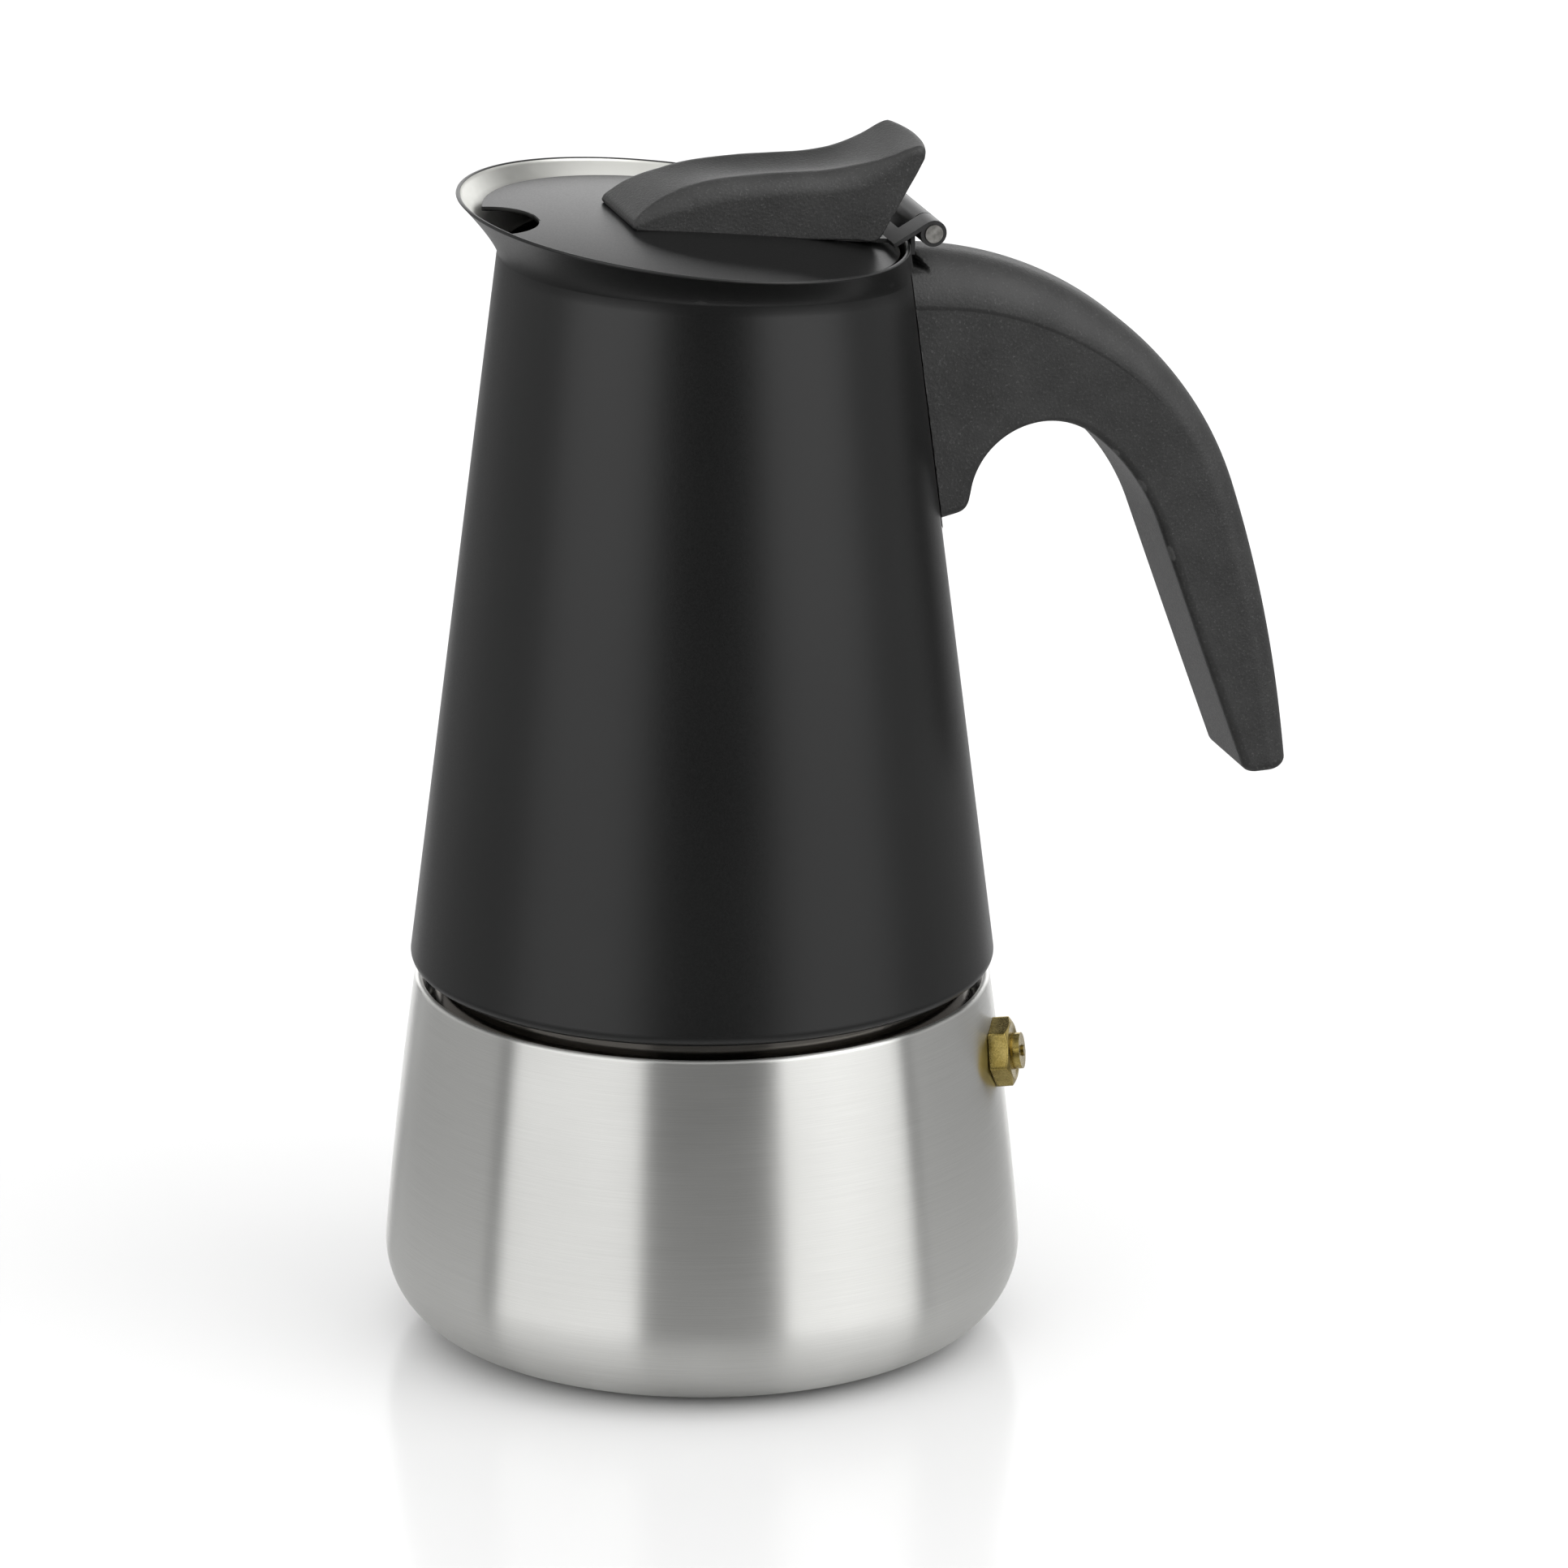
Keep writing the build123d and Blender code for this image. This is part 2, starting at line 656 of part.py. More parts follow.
# leaf: a foot on the lid, a slope up to the pin and a knuckle at each side
touch = (pin_x - knuckle_radius * sin(slope), pin_z + knuckle_radius * cos(slope))
bend = (leaf_foot_x, leaf_foot_z)
foot_end = (bend[0] - leaf_foot_length * cos(tilt), bend[1] + leaf_foot_length * sin(tilt))
inner_radius = pin_radius + pin_running_gap
inner_touch = (pin_x - inner_radius * sin(slope), pin_z + inner_radius * cos(slope))
sheet_drop = hinge_sheet / cos(slope)
bend_in = (bend[0] + hinge_sheet * tan(slope / 2), bend[1] - hinge_sheet)
slot_width = knuckle_width + 2 * knuckle_gap

with BuildPart() as lid_hinge_leaf:
    with BuildSketch(Plane.XZ.offset(-leaf_foot_width / 2)):
        with BuildLine():
            Polyline(foot_end, bend, bend_in, (foot_end[0], foot_end[1] - hinge_sheet), close=True)
        make_face()
    extrude(amount=leaf_foot_width)
    with BuildSketch(Plane.XZ.offset(-hinge_width / 2)):
        with BuildLine():
            Polyline(bend, touch, inner_touch, bend_in, close=True)
        make_face()
        with Locations((pin_x, pin_z)):
            Circle(knuckle_radius)
            Circle(inner_radius, mode=Mode.SUBTRACT)
    extrude(amount=hinge_width)
    with Locations((pin_x - leaf_slot_reach, 0, pin_z)):
        Box(20, slot_width, 20, align=(Align.MIN, Align.CENTER, Align.CENTER), mode=Mode.SUBTRACT)
    add(dome(0, 3), mode=Mode.SUBTRACT)
finish(lid_hinge_leaf, "lid_hinge_leaf")

with BuildPart() as lid_knob:
    # outline, from the point above the pin at the height of the lid's edge
    with BuildSketch(Plane(origin=(pin_x, 0, lid_height), x_dir=(1, 0, 0), z_dir=(0, -1, 0))):
        with BuildLine():
            crown = CenterArc((-knob_crown_reach, knob_rise - knob_crown_radius), knob_crown_radius, 90, 18)
            nose = TangentArc(crown @ 1, (-50.2, 4.75), tangent=crown % 1)
            flat = Line(crown @ 0, (-18.8, knob_rise))
            saddle = TangentArc(flat @ 1, (-3.8, 13.25), tangent=(1, 0))
            tab = TangentArc(saddle @ 1, (-0.6, 11.95), tangent=saddle % 1)
            Polyline(tab @ 1, (-11.6, -7.25), (-50.2, -2.45), nose @ 1)
        make_face()
    extrude(amount=knob_half_width, both=True)
    side_edges = edges().filter_by(lambda edge: abs(abs(edge.center().Y) - knob_half_width) < 0.01)
    fillet(side_edges, knob_edge)
    add(dome(0.0, 12), mode=Mode.SUBTRACT)
    with BuildSketch(Plane.XZ.offset(-knob_half_width)):
        with BuildLine():
            Polyline(foot_end, bend, (bend[0], bend[1] - 8), (foot_end[0], bend[1] - 8), close=True)
        make_face()
    extrude(amount=2 * knob_half_width, mode=Mode.SUBTRACT)
    with Locations(*[lid_plane.location * Location((x, 0, 0)) for x in knob_screw_x]):
        Cylinder(knob_screw_radius, lid_dome + knob_screw_bite + 0.5, align=upright, mode=Mode.SUBTRACT)
finish(lid_knob, "lid_knob")

with BuildPart() as knob_screws:
    with Locations(*[lid_plane.location * Location((x, 0, 0)) for x in knob_screw_x]):
        Cylinder(knob_screw_radius, lid_dome + knob_screw_bite, align=upright)
        Cylinder(knob_screw_head_radius, knob_screw_head + lid_thickness, align=hanging)
        Cylinder(knob_screw_head_radius, lid_dome, align=upright)
    add(dome(-lid_thickness, 12), mode=Mode.INTERSECT)
    with Locations(*[lid_plane.location * Location((x, 0, 0)) for x in knob_screw_x]):
        Cylinder(knob_screw_radius, lid_dome + knob_screw_bite, align=upright)
finish(knob_screws, "knob_screws")

# ---------------------------------------------------------------- safety valve
def valve_ring(inner, outer, low, high):
    """A ring on the valve's axis, between two distances out from the wall."""
    with BuildPart() as solid:
        with BuildSketch(valve_plane.offset(low)):
            Circle(outer)
            if inner:
                Circle(inner, mode=Mode.SUBTRACT)
        extrude(amount=high - low)
    return solid.part


seat_face = -shank_length + seat_thickness
cap_inner = valve_hex_height - cap_plug_length
stem_end = valve_hex_height + cap_stub_height + 0.4
with BuildPart() as valve_body:
    with BuildSketch(valve_plane):
        RegularPolygon(valve_across_flats / 2, 6, major_radius=False, rotation=valve_hex_turn)
    extrude(amount=valve_hex_height)
    outer_face = faces().sort_by(Axis(valve_plane.origin, valve_plane.z_dir))[-1]
    chamfer(outer_face.edges(), 0.4)
    add(valve_ring(0, shank_radius, -shank_length, 0))
    add(valve_ring(0, spring_bore_radius, seat_face, valve_hex_height), mode=Mode.SUBTRACT)
    add(valve_ring(0, seat_radius, -shank_length, seat_face), mode=Mode.SUBTRACT)
finish(valve_body, "valve_body")

wall_bend = washer_radius**2 / (2 * min(valve_radius, wall_out.radius))
washer_offset = boiler_wall + wall_bend + washer_play
washer_face = -washer_offset - washer_thickness
with BuildPart() as valve_washer:
    add(valve_ring(shank_radius + shank_play, washer_radius, washer_face, -washer_offset))
finish(valve_washer, "valve_washer")

with BuildPart() as valve_nut:
    with BuildSketch(valve_plane.offset(washer_face - nut_thickness)):
        RegularPolygon(nut_across_flats / 2, 6, major_radius=False, rotation=valve_hex_turn)
        Circle(shank_radius, mode=Mode.SUBTRACT)
    extrude(amount=nut_thickness)
finish(valve_nut, "valve_nut")

with BuildPart() as valve_cap:
    add(valve_ring(stem_radius + stem_play, spring_bore_radius, cap_inner, valve_hex_height))
    stub_top = valve_hex_height + cap_stub_height
    add(valve_ring(stem_radius + stem_play, cap_stub_radius, valve_hex_height, stub_top))
finish(valve_cap, "valve_cap")

with BuildPart() as valve_plunger:
    add(valve_ring(0, plunger_head_radius, seat_face, seat_face + plunger_head))
    add(valve_ring(0, stem_radius, seat_face, stem_end))
finish(valve_plunger, "valve_plunger")

spring_base = seat_face + plunger_head + spring_wire
spring_length = cap_inner - spring_base - spring_wire
spring_radius = (spring_bore_radius + stem_radius) / 2
with BuildPart() as valve_spring:
    with BuildLine() as coil:
        coil_start = valve_plane.from_local_coords((0, 0, spring_base))
        Helix(spring_length / spring_turns, spring_length, spring_radius, coil_start, valve_plane.z_dir)
    with BuildSketch(Plane(origin=coil.line @ 0, z_dir=coil.line % 0)):
        Circle(spring_wire)
    sweep(path=coil.line, is_frenet=True)
finish(valve_spring, "valve_spring")
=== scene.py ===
import bpy
import math
import numpy as np
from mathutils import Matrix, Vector


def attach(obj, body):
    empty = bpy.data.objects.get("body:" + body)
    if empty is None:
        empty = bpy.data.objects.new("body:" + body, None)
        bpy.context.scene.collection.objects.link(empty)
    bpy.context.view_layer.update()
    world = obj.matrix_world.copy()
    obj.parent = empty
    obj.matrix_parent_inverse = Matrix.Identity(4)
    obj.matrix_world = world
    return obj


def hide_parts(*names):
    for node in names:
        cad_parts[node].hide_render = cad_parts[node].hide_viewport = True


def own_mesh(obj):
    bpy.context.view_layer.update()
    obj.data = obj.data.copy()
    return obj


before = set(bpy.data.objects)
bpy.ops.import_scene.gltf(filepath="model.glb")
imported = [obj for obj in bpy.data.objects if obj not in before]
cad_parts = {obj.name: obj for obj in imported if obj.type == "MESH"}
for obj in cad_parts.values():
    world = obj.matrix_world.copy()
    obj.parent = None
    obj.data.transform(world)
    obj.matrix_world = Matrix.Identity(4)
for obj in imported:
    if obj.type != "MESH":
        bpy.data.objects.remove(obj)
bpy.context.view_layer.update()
print("frame loaded")

mm = 0.001


def addMesh(name, points, quads, triangles=None, materialIndex=None):
    # points in mm; quads and triangles are whole index arrays
    points = np.asarray(points, float).reshape(-1, 3) * mm
    quads = np.asarray(quads, np.int32).reshape(-1, 4)
    triangles = np.asarray([] if triangles is None else triangles, np.int32).reshape(-1, 3)
    mesh = bpy.data.meshes.new(name)
    mesh.vertices.add(len(points))
    mesh.vertices.foreach_set("co", points.astype(np.float32).ravel())
    corners = np.concatenate([quads.ravel(), triangles.ravel()])
    sizes = np.concatenate([np.full(len(quads), 4), np.full(len(triangles), 3)])
    mesh.loops.add(len(corners))
    mesh.loops.foreach_set("vertex_index", corners.astype(np.int32))
    mesh.polygons.add(len(sizes))
    mesh.polygons.foreach_set("loop_start", (np.cumsum(sizes) - sizes).astype(np.int32))
    mesh.polygons.foreach_set("loop_total", sizes.astype(np.int32))
    if materialIndex is not None:
        mesh.polygons.foreach_set("material_index", np.asarray(materialIndex, np.int32))
    mesh.polygons.foreach_set("use_smooth", np.ones(len(sizes), bool))
    mesh.update(calc_edges=True)
    mesh.validate()
    piece = bpy.data.objects.new(name, mesh)
    bpy.context.scene.collection.objects.link(piece)
    return piece


def gridQuads(rows, columns, closeRows=False):
    # each cell of a rows x columns grid becomes one quad, and the last column joins the first;
    # closeRows joins the last row to the first as well
    r, c = np.meshgrid(np.arange(rows if closeRows else rows - 1), np.arange(columns), indexing="ij")
    nextRow, nextColumn = (r + 1) % rows, (c + 1) % columns
    here, beside = r * columns + c, r * columns + nextColumn
    return np.stack([here, beside, nextRow * columns + nextColumn, nextRow * columns + c], -1)


def surface(name, grid, closeRows=False, capEnds=False, flip=False, rowMaterial=None):
    # grid[i, j] is the surface at row i and column j; capEnds closes each end row with a fan to its
    # own middle, flip turns the faces round, and rowMaterial gives each row's material slot
    rows, columns = grid.shape[:2]
    points = grid.reshape(-1, 3)
    quads = gridQuads(rows, columns, closeRows).reshape(-1, 4)
    index = None
    if rowMaterial is not None:
        index = np.repeat(np.asarray(rowMaterial)[:len(quads) // columns], columns)
    triangles = np.zeros((0, 3), int)
    if capEnds:
        middles = np.array([grid[0].mean(0), grid[-1].mean(0)])
        here = np.arange(columns)
        after = (here + 1) % columns
        last = (rows - 1) * columns
        first = np.full(columns, rows * columns)
        startFan = np.stack([first, after, here], -1)
        endFan = np.stack([first + 1, last + here, last + after], -1)
        triangles = np.concatenate([startFan, endFan])
        points = np.concatenate([points, middles])
    if flip:
        quads, triangles = quads[:, ::-1], triangles[:, ::-1]
    return addMesh(name, points, quads, triangles, index)


def arc(centre, radius, start, end, count):
    # points on a circle about centre, from one angle to another in degrees
    a = np.radians(np.linspace(start, end, count))
    return np.stack([centre[0] + radius * np.cos(a), centre[1] + radius * np.sin(a)], -1)


def tangentArc(start, direction, end, count):
    # the one arc that leaves start along direction and reaches end: its radius is chord squared over
    # twice the chord's share across the direction
    start, end = np.array(start, float), np.array(end, float)
    direction = np.array(direction, float) / np.hypot(*direction)
    across = np.array([-direction[1], direction[0]])
    chord = end - start
    reach = chord @ chord / (2 * (chord @ across))
    centre = start + across * reach
    a0 = math.atan2(*(start - centre)[::-1])
    turn = 2 * math.atan2(chord @ across, chord @ direction)
    a = a0 + np.linspace(0, turn, count)
    return np.stack([centre[0] + abs(reach) * np.cos(a), centre[1] + abs(reach) * np.sin(a)], -1)


def roundedLine(corners, cuts, steps, spacing):
    # a line through corners, each corner replaced by a curve that starts a cut before it and ends a
    # cut after it: (1-s)^2 A + 2s(1-s) corner + s^2 B. Straight runs are divided to the spacing.
    corners = np.asarray(corners, float)
    cuts = np.asarray(cuts, float)[:, None]
    toBefore = corners[:-2] - corners[1:-1]
    toAfter = corners[2:] - corners[1:-1]
    a = corners[1:-1] + toBefore / np.linalg.norm(toBefore, axis=1, keepdims=True) * cuts
    b = corners[1:-1] + toAfter / np.linalg.norm(toAfter, axis=1, keepdims=True) * cuts
    s = np.linspace(0, 1, steps + 1)[None, :, None]
    bends = (1 - s) ** 2 * a[:, None] + 2 * s * (1 - s) * corners[1:-1][:, None] + s**2 * b[:, None]
    line = np.concatenate([corners[:1], bends.reshape(-1, 2), corners[-1:]])
    return divide(line, spacing)


def runShares(run, spacing, nearEnd=0.2):
    # shares of a run: even steps no longer than the spacing, and one more close to each end
    if run <= spacing:
        return np.array([0.0])
    near = min(nearEnd / run, 0.5)
    even = np.linspace(0, 1, int(run // spacing) + 2)
    return np.unique(np.concatenate([even, [near, 1 - near]]))[:-1]


def divide(line, spacing):
    shares = [runShares(run, spacing) for run in np.linalg.norm(np.diff(line, axis=0), axis=1)]
    pieces = [line[i] + s[:, None] * (line[i + 1] - line[i]) for i, s in enumerate(shares)]
    return np.concatenate(pieces + [line[-1:]])


def turned(profile, count):
    # each (radius, height) of the profile goes round Z: (r cos t, r sin t, z)
    t = np.linspace(0, 2 * np.pi, count, endpoint=False)
    r, z = profile[:, 0, None], profile[:, 1, None]
    return np.stack([r * np.cos(t), r * np.sin(t), z + 0 * t], -1)


def nodeTree(name):
    material = bpy.data.materials.new(name)
    material.use_nodes = True
    tree = material.node_tree
    shader = tree.nodes["Principled BSDF"]
    return material, tree, shader


def place(tree, kind, settings=None, **inputs):
    node = tree.nodes.new(kind)
    for key, value in (settings or {}).items():
        setattr(node, key, value)
    for key, value in inputs.items():
        numbered = key[0] == "n" and key[1:].isdigit()  # n0 and n1 are the first and second input
        slot = node.inputs[int(key[1:]) if numbered else key.replace("_", " ")]
        if isinstance(value, bpy.types.NodeSocket):
            tree.links.new(value, slot)
        else:
            slot.default_value = value
    return node


def objectPoint(tree, turn=(0, 0, 0)):
    where = place(tree, "ShaderNodeTexCoord").outputs["Object"]
    return place(tree, "ShaderNodeMapping", Vector=where, Rotation=turn).outputs["Vector"]


def noise(tree, point, scale, detail=3.0, roughness=0.6):
    node = place(tree, "ShaderNodeTexNoise", Vector=point, Scale=scale, Detail=detail, Roughness=roughness)
    return node.outputs["Fac"]


def remap(tree, value, low, high, toLow, toHigh):
    node = place(tree, "ShaderNodeMapRange", Value=value)
    for slot, number in zip(("From Min", "From Max", "To Min", "To Max"), (low, high, toLow, toHigh)):
        node.inputs[slot].default_value = number
    return node.outputs["Result"]


def blendColour(tree, share, first, second):
    node = place(tree, "ShaderNodeMix", {"data_type": "RGBA"})
    tree.links.new(share, node.inputs[0])
    node.inputs[6].default_value = (*first, 1)
    node.inputs[7].default_value = (*second, 1)
    return node.outputs[2]


def maths(tree, operation, first, second):
    return place(tree, "ShaderNodeMath", {"operation": operation}, n0=first, n1=second).outputs[0]


def finishShader(tree, shader, colour, rough, height=None, strength=0.1, distance=0.0001):
    tree.links.new(colour, shader.inputs["Base Color"])
    tree.links.new(rough, shader.inputs["Roughness"])
    if height is not None:
        bump = place(tree, "ShaderNodeBump", Strength=strength, Distance=distance, Height=height)
        tree.links.new(bump.outputs["Normal"], shader.inputs["Normal"])


def fadeTo(tree, share, colour, last):
    # a colour socket moves towards a fixed colour by the share
    node = place(tree, "ShaderNodeMix", {"data_type": "RGBA"})
    tree.links.new(share, node.inputs[0])
    tree.links.new(colour, node.inputs[6])
    node.inputs[7].default_value = (*last, 1)
    return node.outputs[2]


wearLooks = {"colour": (0.55, 0.55, 0.54), "bendFrom": 0.53, "bendTo": 0.60, "patchScale": 220.0, "least": 0.3}


def wornEdges(tree, colour, amount):
    # raised edges rub lighter: where the surface is sharply convex, the colour moves a little
    # towards pale grey
    if not amount:
        return colour
    w = wearLooks
    bend = place(tree, "ShaderNodeNewGeometry").outputs["Pointiness"]
    patch = noise(tree, objectPoint(tree), w["patchScale"], 3.0, 0.6)
    edge = remap(tree, bend, w["bendFrom"], w["bendTo"], 0, amount)
    share = maths(tree, "MULTIPLY", edge, remap(tree, patch, 0.35, 0.65, w["least"], 1))
    return fadeTo(tree, share, colour, w["colour"])


def turnedSteel(name, look):
    # brushed round Z: noise on (radius-free height, angle) squeezed to fine rings, broken up along the ring
    material, tree, shader = nodeTree(name)
    point = objectPoint(tree)
    split = place(tree, "ShaderNodeSeparateXYZ", Vector=point)
    angle = maths(tree, "ARCTAN2", split.outputs["Y"], split.outputs["X"])
    cosine = maths(tree, "COSINE", angle, 0.0)
    sine = maths(tree, "SINE", angle, 0.0)
    alongX = maths(tree, "MULTIPLY", cosine, look["ringLength"])
    alongY = maths(tree, "MULTIPLY", sine, look["ringLength"])
    ringHeight = maths(tree, "MULTIPLY", split.outputs["Z"], look["ringsPerMetre"])
    ringPoint = place(tree, "ShaderNodeCombineXYZ", X=alongX, Y=alongY, Z=ringHeight)
    rings = noise(tree, ringPoint.outputs["Vector"], 1.0, 4.0, 0.7)
    cloud = noise(tree, point, look["cloudScale"], 2.0, 0.5)
    colour = blendColour(tree, remap(tree, rings, 0.3, 0.7, 0, 1), look["dark"], look["light"])
    rough = remap(tree, maths(tree, "ADD", rings, cloud), 0.6, 1.4, look["rough"][0], look["rough"][1])
    finishShader(tree, shader, colour, rough, rings, look["bump"], 0.00005)
    shader.inputs["Metallic"].default_value = 1.0
    shader.inputs["Anisotropic"].default_value = look["anisotropic"]
    # highlights spread across the rings, up and down
    shader.inputs["Anisotropic Rotation"].default_value = 0.25
    tangent = place(tree, "ShaderNodeCombineXYZ", X=maths(tree, "MULTIPLY", sine, -1.0), Y=cosine, Z=0.0)
    tree.links.new(tangent.outputs["Vector"], shader.inputs["Tangent"])
    return material


def plainMetal(name, look):
    # two noises: one fine grain for roughness and bump, one broad cloud for the colour
    material, tree, shader = nodeTree(name)
    point = objectPoint(tree)
    grain = noise(tree, point, look["grainScale"], 3.0, 0.65)
    cloud = noise(tree, point, look["cloudScale"], 3.0, 0.5)
    colour = blendColour(tree, remap(tree, cloud, 0.35, 0.65, 0, 1), look["dark"], look["light"])
    rough = remap(tree, grain, 0.3, 0.7, look["rough"][0], look["rough"][1])
    finishShader(tree, shader, colour, rough, grain, look["bump"], 0.00004)
    shader.inputs["Metallic"].default_value = 1.0
    return material


def mouthSteel(name, look):
    # bare steel of the jug's inside: pale on the flare, with painted shade from a little below the rim's plane,
    # where the colour turns dark
    material, tree, shader = nodeTree(name)
    point = objectPoint(tree)
    grain = noise(tree, point, look["grainScale"], 3.0, 0.65)
    cloud = noise(tree, point, look["cloudScale"], 3.0, 0.5)
    unshaded = blendColour(tree, remap(tree, cloud, 0.35, 0.65, 0, 1), look["dark"], look["light"])
    lean = math.radians(look["tilt"])
    up = (math.sin(lean), 0, math.cos(lean))
    height = place(tree, "ShaderNodeVectorMath", {"operation": "DOT_PRODUCT"}, n0=point, n1=up).outputs["Value"]
    depth = maths(tree, "SUBTRACT", look["rim"] * math.cos(lean), height)
    ragged = remap(tree, cloud, 0.3, 0.7, -look["ragged"], look["ragged"])
    # painted shade: with depth below the rim's plane the colour fades to a dark shade colour, its edge made
    # ragged by the cloud
    share = maths(tree, "ADD", remap(tree, depth, look["shadeStart"], look["darkFrom"], 0, 1), ragged)
    colour = fadeTo(tree, share, unshaded, look["paintedShade"])
    rough = remap(tree, grain, 0.3, 0.7, look["rough"][0], look["rough"][1])
    finishShader(tree, shader, colour, rough, grain, look["bump"], 0.00004)
    shader.inputs["Metallic"].default_value = 1.0
    return material


def coating(name, look):
    # baked-on coating: a fine orange-peel noise under a faint cloud, with small brighter specks
    material, tree, shader = nodeTree(name)
    point = objectPoint(tree)
    peel = noise(tree, point, look["peelScale"], 2.0, 0.5)
    grain = noise(tree, point, look["grainScale"], 4.0, 0.7)
    cloud = noise(tree, point, look["cloudScale"], 2.0, 0.5)
    share = maths(tree, "MULTIPLY", maths(tree, "ADD", cloud, grain), 0.5)
    colour = blendColour(tree, remap(tree, share, 0.35, 0.65, 0, 1), look["dark"], look["light"])
    colour = wornEdges(tree, colour, look.get("wear", 0))
    rough = remap(tree, grain, 0.3, 0.7, look["rough"][0], look["rough"][1])
    height = maths(tree, "ADD", maths(tree, "MULTIPLY", grain, 0.6), peel)
    finishShader(tree, shader, colour, rough, height, look["bump"], 0.00005)
    shader.inputs["IOR"].default_value = look["ior"]
    return material


def mouldedPlastic(name, look):
    # spark-eroded mould grain: cell noise and fine noise give the bump, lighter specks the speckle
    material, tree, shader = nodeTree(name)
    point = objectPoint(tree)
    grain = noise(tree, point, look["grainScale"], 4.0, 0.75)
    cells = place(tree, "ShaderNodeTexVoronoi", Vector=point, Scale=look["cellScale"]).outputs["Distance"]
    cloud = noise(tree, point, look["cloudScale"], 3.0, 0.6)
    speck = remap(tree, grain, 0.56, 0.72, 0, look["speck"])
    base = remap(tree, cloud, 0.3, 0.7, 0, 0.06)
    colour = blendColour(tree, maths(tree, "ADD", speck, base), look["dark"], look["light"])
    colour = wornEdges(tree, colour, look["wear"])
    rough = remap(tree, grain, 0.3, 0.7, look["rough"][0], look["rough"][1])
    height = maths(tree, "ADD", grain, maths(tree, "MULTIPLY", cells, 0.6))
    finishShader(tree, shader, colour, rough, height, look["bump"], 0.0001)
    shader.inputs["IOR"].default_value = look["ior"]
    return material


finishLooks = {
    "steel": {
        "dark": (0.62, 0.62, 0.60), "light": (0.70, 0.70, 0.68), "rough": (0.28, 0.38),
        "bump": 0.06, "anisotropic": 1.0, "ringsPerMetre": 9000.0, "ringLength": 3.0,
        "cloudScale": 40.0,
    },
    # the neck's steel is given a dark colour: painted shade in the gap between jug and boiler
    "shadedNeckSteel": {
        "dark": (0.13, 0.12, 0.11), "light": (0.19, 0.18, 0.165), "rough": (0.08, 0.16),
        "bump": 0.04, "anisotropic": 0.3, "ringsPerMetre": 5000.0, "ringLength": 4.0,
        "cloudScale": 60.0,
    },
    "innerSteel": {
        "dark": (0.60, 0.60, 0.565), "light": (0.68, 0.68, 0.645), "rough": (0.26, 0.32),
        "bump": 0.004, "grainScale": 900.0, "cloudScale": 60.0,
    },
    "mouthSteel": {
        "dark": (0.62, 0.62, 0.585), "light": (0.70, 0.70, 0.665), "paintedShade": (0.045, 0.042, 0.038),
        "rough": (0.34, 0.40), "bump": 0.004, "grainScale": 900.0, "cloudScale": 60.0, "tilt": 6.9,
        "rim": 0.1882, "shadeStart": 0.0018, "darkFrom": 0.0042, "ragged": 0.08,
    },
    "black": {
        "dark": (0.0015, 0.0016, 0.0016), "light": (0.0036, 0.0038, 0.0037), "rough": (0.32, 0.40),
        "wear": 0.03, "bump": 0.10, "peelScale": 900.0, "grainScale": 3200.0, "cloudScale": 25.0,
        "ior": 1.5,
    },
    "plastic": {
        "dark": (0.0135, 0.0135, 0.0133), "light": (0.15, 0.15, 0.148), "rough": (0.42, 0.58),
        "bump": 0.5, "grainScale": 2300.0, "cellScale": 1900.0, "cloudScale": 160.0, "speck": 0.32,
        "ior": 1.5, "wear": 0.10,
    },
    "silicone": {
        "dark": (0.62, 0.60, 0.55), "light": (0.72, 0.70, 0.66), "rough": (0.45, 0.6), "bump": 0.1,
        "peelScale": 500.0, "grainScale": 1800.0, "cloudScale": 60.0, "ior": 1.41,
    },
    "brass": {
        "dark": (0.30, 0.225, 0.062), "light": (0.47, 0.37, 0.13), "rough": (0.22, 0.34),
        "bump": 0.03, "grainScale": 2600.0, "cloudScale": 350.0,
    },
    "spring": {
        "dark": (0.40, 0.40, 0.39), "light": (0.55, 0.55, 0.53), "rough": (0.2, 0.3), "bump": 0.05,
        "grainScale": 2000.0, "cloudScale": 400.0,
    },
    "zinc": {
        "dark": (0.45, 0.46, 0.46), "light": (0.62, 0.63, 0.62), "rough": (0.3, 0.42),
        "bump": 0.08, "grainScale": 1500.0, "cloudScale": 400.0,
    },
    "pin": {
        "dark": (0.24, 0.235, 0.22), "light": (0.40, 0.39, 0.37), "rough": (0.38, 0.55),
        "bump": 0.25, "grainScale": 1500.0, "cloudScale": 900.0,
    },
    "sheet": {
        "dark": (0.010, 0.010, 0.010), "light": (0.022, 0.022, 0.0215), "rough": (0.30, 0.40),
        "bump": 0.12, "peelScale": 900.0, "grainScale": 3000.0, "cloudScale": 120.0, "ior": 1.5,
    },
}

steel = turnedSteel("brushed_steel", finishLooks["steel"])
shadedNeckSteel = turnedSteel("neck_steel", finishLooks["shadedNeckSteel"])
innerSteel = plainMetal("inner_steel", finishLooks["innerSteel"])
bareMouth = mouthSteel("mouth_steel_painted_shade", finishLooks["mouthSteel"])
blackCoat = coating("black_coating", finishLooks["black"])
blackPlastic = mouldedPlastic("black_plastic", finishLooks["plastic"])
silicone = coating("silicone", finishLooks["silicone"])
brass = plainMetal("brass", finishLooks["brass"])
springSteel = plainMetal("spring_steel", finishLooks["spring"])
zinc = plainMetal("zinc_screw", finishLooks["zinc"])
pinSteel = plainMetal("pin_steel", finishLooks["pin"])
blackSheet = coating("black_sheet", finishLooks["sheet"])
print("finishes made")

